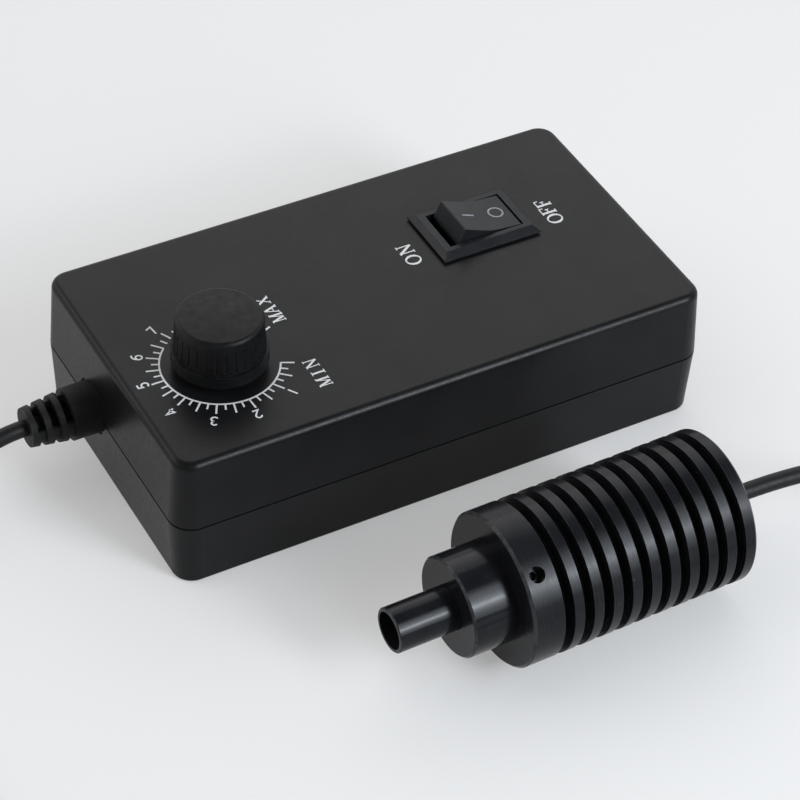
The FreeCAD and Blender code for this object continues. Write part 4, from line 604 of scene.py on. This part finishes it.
def board_laminate():
    """Green solder mask with the weave of the glass cloth under it."""
    surface = Surface("board_laminate")
    weave = surface.node("ShaderNodeTexChecker")
    surface.feed(weave, Vector=surface.place, Scale=1 / (WEAVE_SIZE * MM))
    tone = surface.mix(weave.outputs["Fac"], MASK_DARK, MASK_LIGHT)
    blotches = surface.spread(surface.noise(size=7.0, detail=3), low=0, high=0.6)
    surface.colour(surface.mix(blotches, tone, MASK_THICK))
    surface.rough(surface.spread(surface.noise(size=2.0, detail=3), low=0.25, high=0.4))
    surface.bump(weave.outputs["Fac"], depth=6.0, strength=0.4)
    return surface.material


def chip_black():
    return moulded("chip_black", dark=(0.02, 0.02, 0.021), light=(0.03, 0.03, 0.031),
                   blotch=1.5, grain=0.1, grain_depth=3.0, rough=(0.45, 0.6)).material


def ferrite():
    return moulded("ferrite", dark=(0.05, 0.05, 0.052), light=(0.085, 0.085, 0.085),
                   blotch=1.0, grain=0.15, grain_depth=12.0, rough=(0.55, 0.75)).material


def header_nylon():
    return moulded("header_nylon", dark=(0.68, 0.66, 0.58), light=(0.76, 0.74, 0.67),
                   blotch=3.0, grain=0.3, grain_depth=5.0, rough=(0.35, 0.5)).material


def wire_insulation():
    return moulded("wire_insulation", dark=(0.3, 0.018, 0.018), light=(0.4, 0.03, 0.026),
                   blotch=2.0, grain=0.3, grain_depth=4.0, rough=(0.35, 0.5)).material


def wafer_phenolic():
    return moulded("wafer_phenolic", dark=(0.19, 0.09, 0.04), light=(0.27, 0.14, 0.07),
                   blotch=1.5, grain=0.2, grain_depth=8.0, rough=(0.5, 0.65)).material


def led_ceramic():
    return moulded("led_ceramic", dark=(0.74, 0.74, 0.7), light=(0.82, 0.82, 0.79),
                   blotch=2.0, grain=0.2, grain_depth=3.0, rough=(0.35, 0.5)).material


def pad_silicone():
    return moulded("pad_silicone", dark=(0.4, 0.41, 0.45), light=(0.5, 0.51, 0.55),
                   blotch=1.5, grain=0.25, grain_depth=10.0, rough=(0.6, 0.75)).material


def led_silicone():
    """Clear dome over yellow phosphor."""
    surface = Surface("led_silicone")
    speckle = surface.spread(surface.noise(size=0.12), low=0, high=1)
    surface.colour(surface.mix(speckle, PHOSPHOR_DARK, PHOSPHOR_LIGHT))
    surface.rough(surface.spread(surface.noise(size=0.8), low=0.12, high=0.22))
    surface.shader.inputs["Coat Weight"].default_value = DOME_COAT
    surface.bump(surface.noise(size=0.5), depth=1.0)
    return surface.material


def clear_glass():
    """Polished lens glass with a trace of dust."""
    surface = Surface("clear_glass", ior=1.52)
    dust = surface.spread(surface.noise(size=0.3, detail=4), low=0, high=1, start=0.62, end=0.8)
    surface.colour(surface.mix(dust, GLASS_CLEAR, GLASS_DUSTY))
    surface.rough(surface.spread(dust, low=0.02, high=0.3, start=0, end=1))
    surface.shader.inputs["Transmission Weight"].default_value = 1.0
    return surface.material


def printed_ink(name, full, thin):
    """Pad-printed ink, thinner in places."""
    surface = Surface(name)
    gaps = surface.spread(surface.noise(size=0.35, detail=4), low=0, high=1, start=0.56, end=0.74)
    surface.colour(surface.mix(gaps, full, thin))
    surface.rough(surface.spread(surface.noise(size=0.5), low=0.4, high=0.55))
    surface.bump(surface.noise(size=0.3), depth=4.0)
    return surface.material


MATERIALS = [
    case_plastic, knob_plastic, switch_plastic, relief_rubber, cord_rubber, black_anodised, steel,
    black_steel, brass_contact, plated_can, board_laminate, chip_black, ferrite, header_nylon,
    wire_insulation, wafer_phenolic, led_ceramic, pad_silicone, led_silicone, clear_glass,
]


def dress_nodes():
    """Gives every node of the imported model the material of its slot, and returns the materials by slot."""
    made = {make.__name__: make() for make in MATERIALS}
    for part in frame["record"]["subparts"]:
        node = frame["nodes"][part["node"]]
        if not node.material_slots:
            node.data.materials.append(None)
        for place in node.material_slots:
            place.material = made[part["material_slot"]]
    return made


# Print: thin strokes of ink, laid over one another in hair-thin steps

class Print:
    """Flat strokes gathered into one mesh. lay turns a flat place and a rise into a place in the room."""

    def __init__(self, name, lay):
        self.name = name
        self.lay = lay
        self.mesh = bmesh.new()
        self.strokes = 0

    def band(self, first, second, closed=False):
        """Thin slab between two rows of flat places."""
        self.strokes += 1
        top = INK_THICKNESS + INK_STEP * self.strokes
        rows = [[self.mesh.verts.new(self.lay(place, rise) * MM) for place in row]
                for row, rise in ((first, top), (second, top), (second, 0), (first, 0))]
        pairs = list(zip(rows, rows[1:] + rows[:1]))
        count = len(first)
        for number in range(count if closed else count - 1):
            following = (number + 1) % count
            for row, other in pairs:
                self.mesh.faces.new((row[number], row[following], other[following], other[number]))
        if not closed:
            self.mesh.faces.new([row[0] for row in rows])
            self.mesh.faces.new([row[-1] for row in reversed(rows)])

    def stroke(self, places, width):
        """Line of one width along flat places, mitred at its corners."""
        places = [Vector(place) for place in places]
        closed = (places[0] - places[-1]).length < SAME_PLACE
        if closed:
            places.pop()
        count = len(places)
        left = []
        right = []
        for number, place in enumerate(places):
            before = places[number - 1] if number or closed else place
            after = places[(number + 1) % count] if number < count - 1 or closed else place
            run_in = (place - before).normalized()
            run_out = (after - place).normalized()
            heading = (run_in + run_out).normalized()
            share = max(heading.dot(run_out if run_out.length else run_in), MITRE_LIMIT)
            across = Vector((-heading.y, heading.x)) * width / 2 / share
            left.append(place + across)
            right.append(place - across)
        self.band(left, right, closed)

    def finish(self, material, body):
        """Makes the piece, in its ink, and lets it ride on a body."""
        bmesh.ops.recalc_face_normals(self.mesh, faces=self.mesh.faces)
        mesh = bpy.data.meshes.new(self.name)
        self.mesh.to_mesh(mesh)
        self.mesh.free()
        mesh.materials.append(material)
        piece = bpy.data.objects.new(self.name, mesh)
        bpy.context.scene.collection.objects.link(piece)
        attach(piece, body)


def on_panel(place, rise):
    return Vector((place[0], place[1], PANEL_TOP + rise))


def ellipse(centre_x, centre_y, radius_x, radius_y, turns):
    """Places on an ellipse at these angles, in degrees."""
    turns = [math.radians(turn) for turn in turns]
    return [(centre_x + radius_x * math.cos(turn), centre_y + radius_y * math.sin(turn)) for turn in turns]


def arc(centre_x, centre_y, radius_x, radius_y, start, end):
    """Places along part of an ellipse, from one angle to another."""
    steps = max(round(abs(end - start) / NUMERAL_ARC_STEP), 2)
    turns = [start + (end - start) * step / steps for step in range(steps + 1)]
    return ellipse(centre_x, centre_y, radius_x, radius_y, turns)


def dial_place(angle, radius, aside=0.0):
    """Flat place by its angle and distance from the knob's axis, and a step aside, clockwise."""
    outward = Vector((math.cos(angle), math.sin(angle)))
    clockwise = Vector((outward.y, -outward.x))
    return KNOB_CENTRE + outward * radius + clockwise * aside


def dial_angle(tick):
    return math.radians(DIAL_ZERO + DIAL_STEP * tick / TICKS_PER_NUMBER)


def print_dial(ink):
    """Arc with long and short ticks. Past the arc's end the ticks go on without it."""
    dial = Print("dial_print", on_panel)
    start = dial_angle(0)
    end = dial_angle(DIAL_ARC_TICKS)
    angles = [start + (end - start) * step / DIAL_ARC_POINTS for step in range(DIAL_ARC_POINTS + 1)]
    dial.stroke([dial_place(angle, DIAL_ARC_RADIUS) for angle in angles], TICK_WIDTH)
    for tick in range(DIAL_TICKS + 1):
        angle = dial_angle(tick) if tick < DIAL_TICKS else math.radians(DIAL_LAST)
        reach = SHORT_TICK if tick % 2 else LONG_TICK
        dial.stroke([dial_place(angle, DIAL_ARC_RADIUS), dial_place(angle, reach)], TICK_WIDTH)
    dial.finish(ink, "control_box")


NUMERALS = {
    1: [[(0.3, 0), (0.3, 1)]],
    2: [arc(0.3, 0.72, 0.26, 0.28, 165, -35) + [(0.04, 0), (0.6, 0)]],
    3: [arc(0.28, 0.76, 0.25, 0.24, 150, -90) + arc(0.28, 0.26, 0.3, 0.26, 90, -150)],
    4: [[(0.44, 0), (0.44, 1), (0.02, 0.3), (0.62, 0.3)]],
    5: [[(0.56, 1), (0.14, 1), (0.08, 0.56)] + arc(0.28, 0.32, 0.3, 0.32, 110, -140)],
    6: [arc(0.42, 0.42, 0.4, 0.58, 80, 180), arc(0.31, 0.3, 0.28, 0.3, 0, 360)],
    7: [[(0.02, 1), (0.6, 1), (0.24, 0)]],
    8: [arc(0.3, 0.76, 0.23, 0.24, 0, 360), arc(0.3, 0.27, 0.29, 0.27, 0, 360)],
    9: [arc(0.29, 0.7, 0.28, 0.3, 0, 360), arc(0.17, 0.58, 0.4, 0.58, 0, -100)],
}


def print_numerals(ink):
    """Numerals with their tops outward, each a piece of its own."""
    for number, lines in NUMERALS.items():
        angle = dial_angle(TICKS_PER_NUMBER * number)
        shift = Vector(NUMERAL_SHIFT.get(number, (0, 0)))
        numeral = Print(f"numeral_{number}", on_panel)
        for line in lines:
            numeral.stroke([shift + dial_place(angle, NUMERAL_RADIUS + (y - 0.5) * NUMERAL_HEIGHT,
                                               (x - NUMERAL_MIDDLE) * NUMERAL_HEIGHT) for x, y in line],
                           NUMERAL_STROKE)
        numeral.finish(ink, "control_box")


def letter_place(middle, size, x, y):
    """Flat place on a letter that reads along +Y with its top towards -X."""
    return (middle[0] + (0.5 - y) * LETTER_HEIGHT * size, middle[1] + (x - 0.5) * LETTER_WIDTH * size)


def print_letter(word, letter, middle, size):
    """Adds a letter to a word. O is a ring, thicker at its sides, and the others are strokes."""
    if letter == "O":
        turns = [360 * step / LETTER_O_POINTS for step in range(LETTER_O_POINTS)]
        rings = [[letter_place(middle, size, x, y) for x, y in ellipse(0.5, 0.5, wide, high, turns)]
                 for wide, high in (LETTER_O_OUTER, LETTER_O_INNER)]
        word.band(*rings, closed=True)
        return
    for start, end, weight in LETTERS[letter]:
        ends = [letter_place(middle, size, *place) for place in (start, end)]
        word.stroke(ends, weight * LETTER_HEIGHT * size)


def print_words(ink):
    for text, (size, middles) in WORDS.items():
        word = Print(f"label_{text.lower()}", on_panel)
        for letter, middle in zip(text, middles):
            print_letter(word, letter, middle, size)
        word.finish(ink, "control_box")


def on_rocker(place, rise):
    """Place on the rocker's dished top, as it is tilted at rest."""
    along = abs(place[0])
    slope = math.tan(ROCKER_SLOPE)
    height = ROCKER_RIDGE - (ROCKER_HALF_LENGTH - along) * slope
    if along < ROCKER_DISH_HALF:
        edge = ROCKER_RIDGE - (ROCKER_HALF_LENGTH - ROCKER_DISH_HALF) * slope
        bottom = ROCKER_DISH_HALF * math.tan(ROCKER_SLOPE / 2)
        height = edge - bottom * (1 - (along / ROCKER_DISH_HALF) ** 2)
    local = Vector((place[0], place[1], height + rise))
    return ROCKER_PIVOT + Matrix.Rotation(ROCKER_TILT, 3, "Y") @ local


def print_rocker_marks(ink):
    """Dash of the rocker's ON end and ring of its OFF end, which ride on it."""
    on_mark = Print("rocker_mark_on", on_rocker)
    span = ON_MARK_END - ON_MARK_START
    dash = [(ON_MARK_START + span * step / ON_MARK_STEPS, ON_MARK_SIDE) for step in range(ON_MARK_STEPS + 1)]
    on_mark.stroke(dash, ON_MARK_STROKE)
    on_mark.finish(ink, "rocker")
    off_mark = Print("rocker_mark_off", on_rocker)
    turns = [360 * step / OFF_MARK_POINTS for step in range(OFF_MARK_POINTS + 1)]
    off_mark.stroke(ellipse(*OFF_MARK_CENTRE, OFF_MARK_RADIUS, OFF_MARK_RADIUS, turns), OFF_MARK_STROKE)
    off_mark.finish(ink, "rocker")


# Floor

def seen_ray(tree):
    """1 for a ray from the camera, or one that metal or glass reflects or lets through."""
    path = tree.nodes.new("ShaderNodeLightPath")
    seen = path.outputs["Is Camera Ray"]
    for name in ("Is Glossy Ray", "Is Transmission Ray"):
        seen = calculated(tree, "MAXIMUM", seen, path.outputs[name])
    return seen


def floor_paper():
    """Pale paper that keeps the shadows but shows a little lighter than it is lit."""
    material = bpy.data.materials.new("floor_paper")
    material.use_nodes = True
    tree = material.node_tree
    paper = tree.nodes["Principled BSDF"]
    paper.inputs["Base Color"].default_value = (*FLOOR_COLOUR, 1)
    paper.inputs["Roughness"].default_value = FLOOR_ROUGHNESS
    paper.inputs["Specular IOR Level"].default_value = FLOOR_GLOSS
    glow = tree.nodes.new("ShaderNodeEmission")
    blend = tree.nodes.new("ShaderNodeMixShader")
    tree.links.new(calculated(tree, "MULTIPLY", seen_ray(tree), FLOOR_LIFT), blend.inputs["Fac"])
    tree.links.new(paper.outputs["BSDF"], blend.inputs[1])
    tree.links.new(glow.outputs["Emission"], blend.inputs[2])
    tree.links.new(blend.outputs["Shader"], tree.nodes["Material Output"].inputs["Surface"])
    return material


def add_floor():
    """Square floor, a hair below the object, so that their faces don't coincide."""
    half = FLOOR_SIDE / 2
    corners = [(-half, -half, 0), (half, -half, 0), (half, half, 0), (-half, half, 0)]
    mesh = bpy.data.meshes.new("floor")
    mesh.from_pydata(corners, [], [(0, 1, 2, 3)])
    mesh.materials.append(floor_paper())
    floor = bpy.data.objects.new("floor", mesh)
    floor.location.z = -FLOOR_DROP * MM
    bpy.context.scene.collection.objects.link(floor)


# Light

def front_shade(tree, direction):
    """How much the room in front of the object is darkened, most of all at its horizon."""
    front = spread_between(tree, direction.outputs["Y"], 0, 1, FRONT_START, FRONT_FULL)
    depth = spread_between(tree, direction.outputs["Z"], FRONT_HORIZON_SHADE, FRONT_SHADE,
                           FRONT_HORIZON_LOW, FRONT_HORIZON_HIGH)
    return calculated(tree, "MULTIPLY", front, depth)


def add_world():
    """Bright room with a dark ceiling and a dark front. The camera itself sees plain white."""
    world = bpy.data.worlds.new("room")
    bpy.context.scene.world = world
    world.use_nodes = True
    tree = world.node_tree
    place = tree.nodes.new("ShaderNodeTexCoord")
    direction = tree.nodes.new("ShaderNodeSeparateXYZ")
    tree.links.new(place.outputs["Generated"], direction.inputs["Vector"])
    ramp = tree.nodes.new("ShaderNodeValToRGB")
    bright, ceiling = ramp.color_ramp.elements
    bright.position = ROOM_BRIGHT_HEIGHT
    bright.color = (ROOM_BRIGHT, ROOM_BRIGHT, ROOM_BRIGHT, 1)
    ceiling.position = ROOM_CEILING_HEIGHT
    ceiling.color = (ROOM_CEILING, ROOM_CEILING, ROOM_CEILING, 1)
    tree.links.new(direction.outputs["Z"], ramp.inputs["Fac"])
    room = mixed_colour(tree, front_shade(tree, direction), ramp.outputs["Color"], BLACK)
    path = tree.nodes.new("ShaderNodeLightPath")
    seen = mixed_colour(tree, path.outputs["Is Camera Ray"], room, WHITE)
    tree.links.new(seen, tree.nodes["Background"].inputs["Color"])


def add_light(name, place, width, height, radiance, colour=WHITE, glossy=True, diffuse=True):
    """Area lamp that faces LIGHT_AIM. glossy says if surfaces mirror it, diffuse if it lights them."""
    data = bpy.data.lights.new(name, "AREA")
    data.shape = "RECTANGLE"
    data.size = width
    data.size_y = height
    data.energy = radiance * math.pi * width * height
    data.color = colour
    lamp = bpy.data.objects.new(name, data)
    lamp.location = place
    lamp.rotation_euler = (LIGHT_AIM - Vector(place)).to_track_quat("-Z", "Y").to_euler()
    lamp.visible_glossy = glossy
    lamp.visible_diffuse = diffuse
    bpy.context.scene.collection.objects.link(lamp)


def add_front_banks():
    """Stack of banks in the fan of directions that the lamp head mirrors to the camera."""
    side = math.sin(CAMERA_AZIMUTH) * math.cos(CAMERA_ELEVATION)
    reach = math.sqrt(1 - side ** 2)
    height = BANK_DISTANCE * reach * BANK_STEP
    for number, radiance in enumerate(BANK_RADIANCES):
        angle = BANK_START + BANK_STEP * number
        heading = Vector((side, reach * math.cos(angle), reach * math.sin(angle)))
        add_light(f"front_bank_{number}", LIGHT_AIM + heading * BANK_DISTANCE, BANK_WIDTH, height, radiance,
                  colour=BANK_COLOUR)


def add_lights():
    """Front banks, boxes that the bezel and the panel mirror, and soft light from above and behind."""
    add_front_banks()
    for name, settings in SOFT_LAMPS.items():
        add_light(name, **settings)


# Scene

add_camera()
made = dress_nodes()
add_cord(made["cord_rubber"])
white = printed_ink("white_ink", WHITE_INK, WHITE_INK_THIN)
print_dial(white)
print_numerals(white)
print_words(white)
print_rocker_marks(printed_ink("grey_ink", GREY_INK, GREY_INK_THIN))
add_floor()
add_world()
add_lights()
bpy.context.scene.view_settings.view_transform = "Standard"
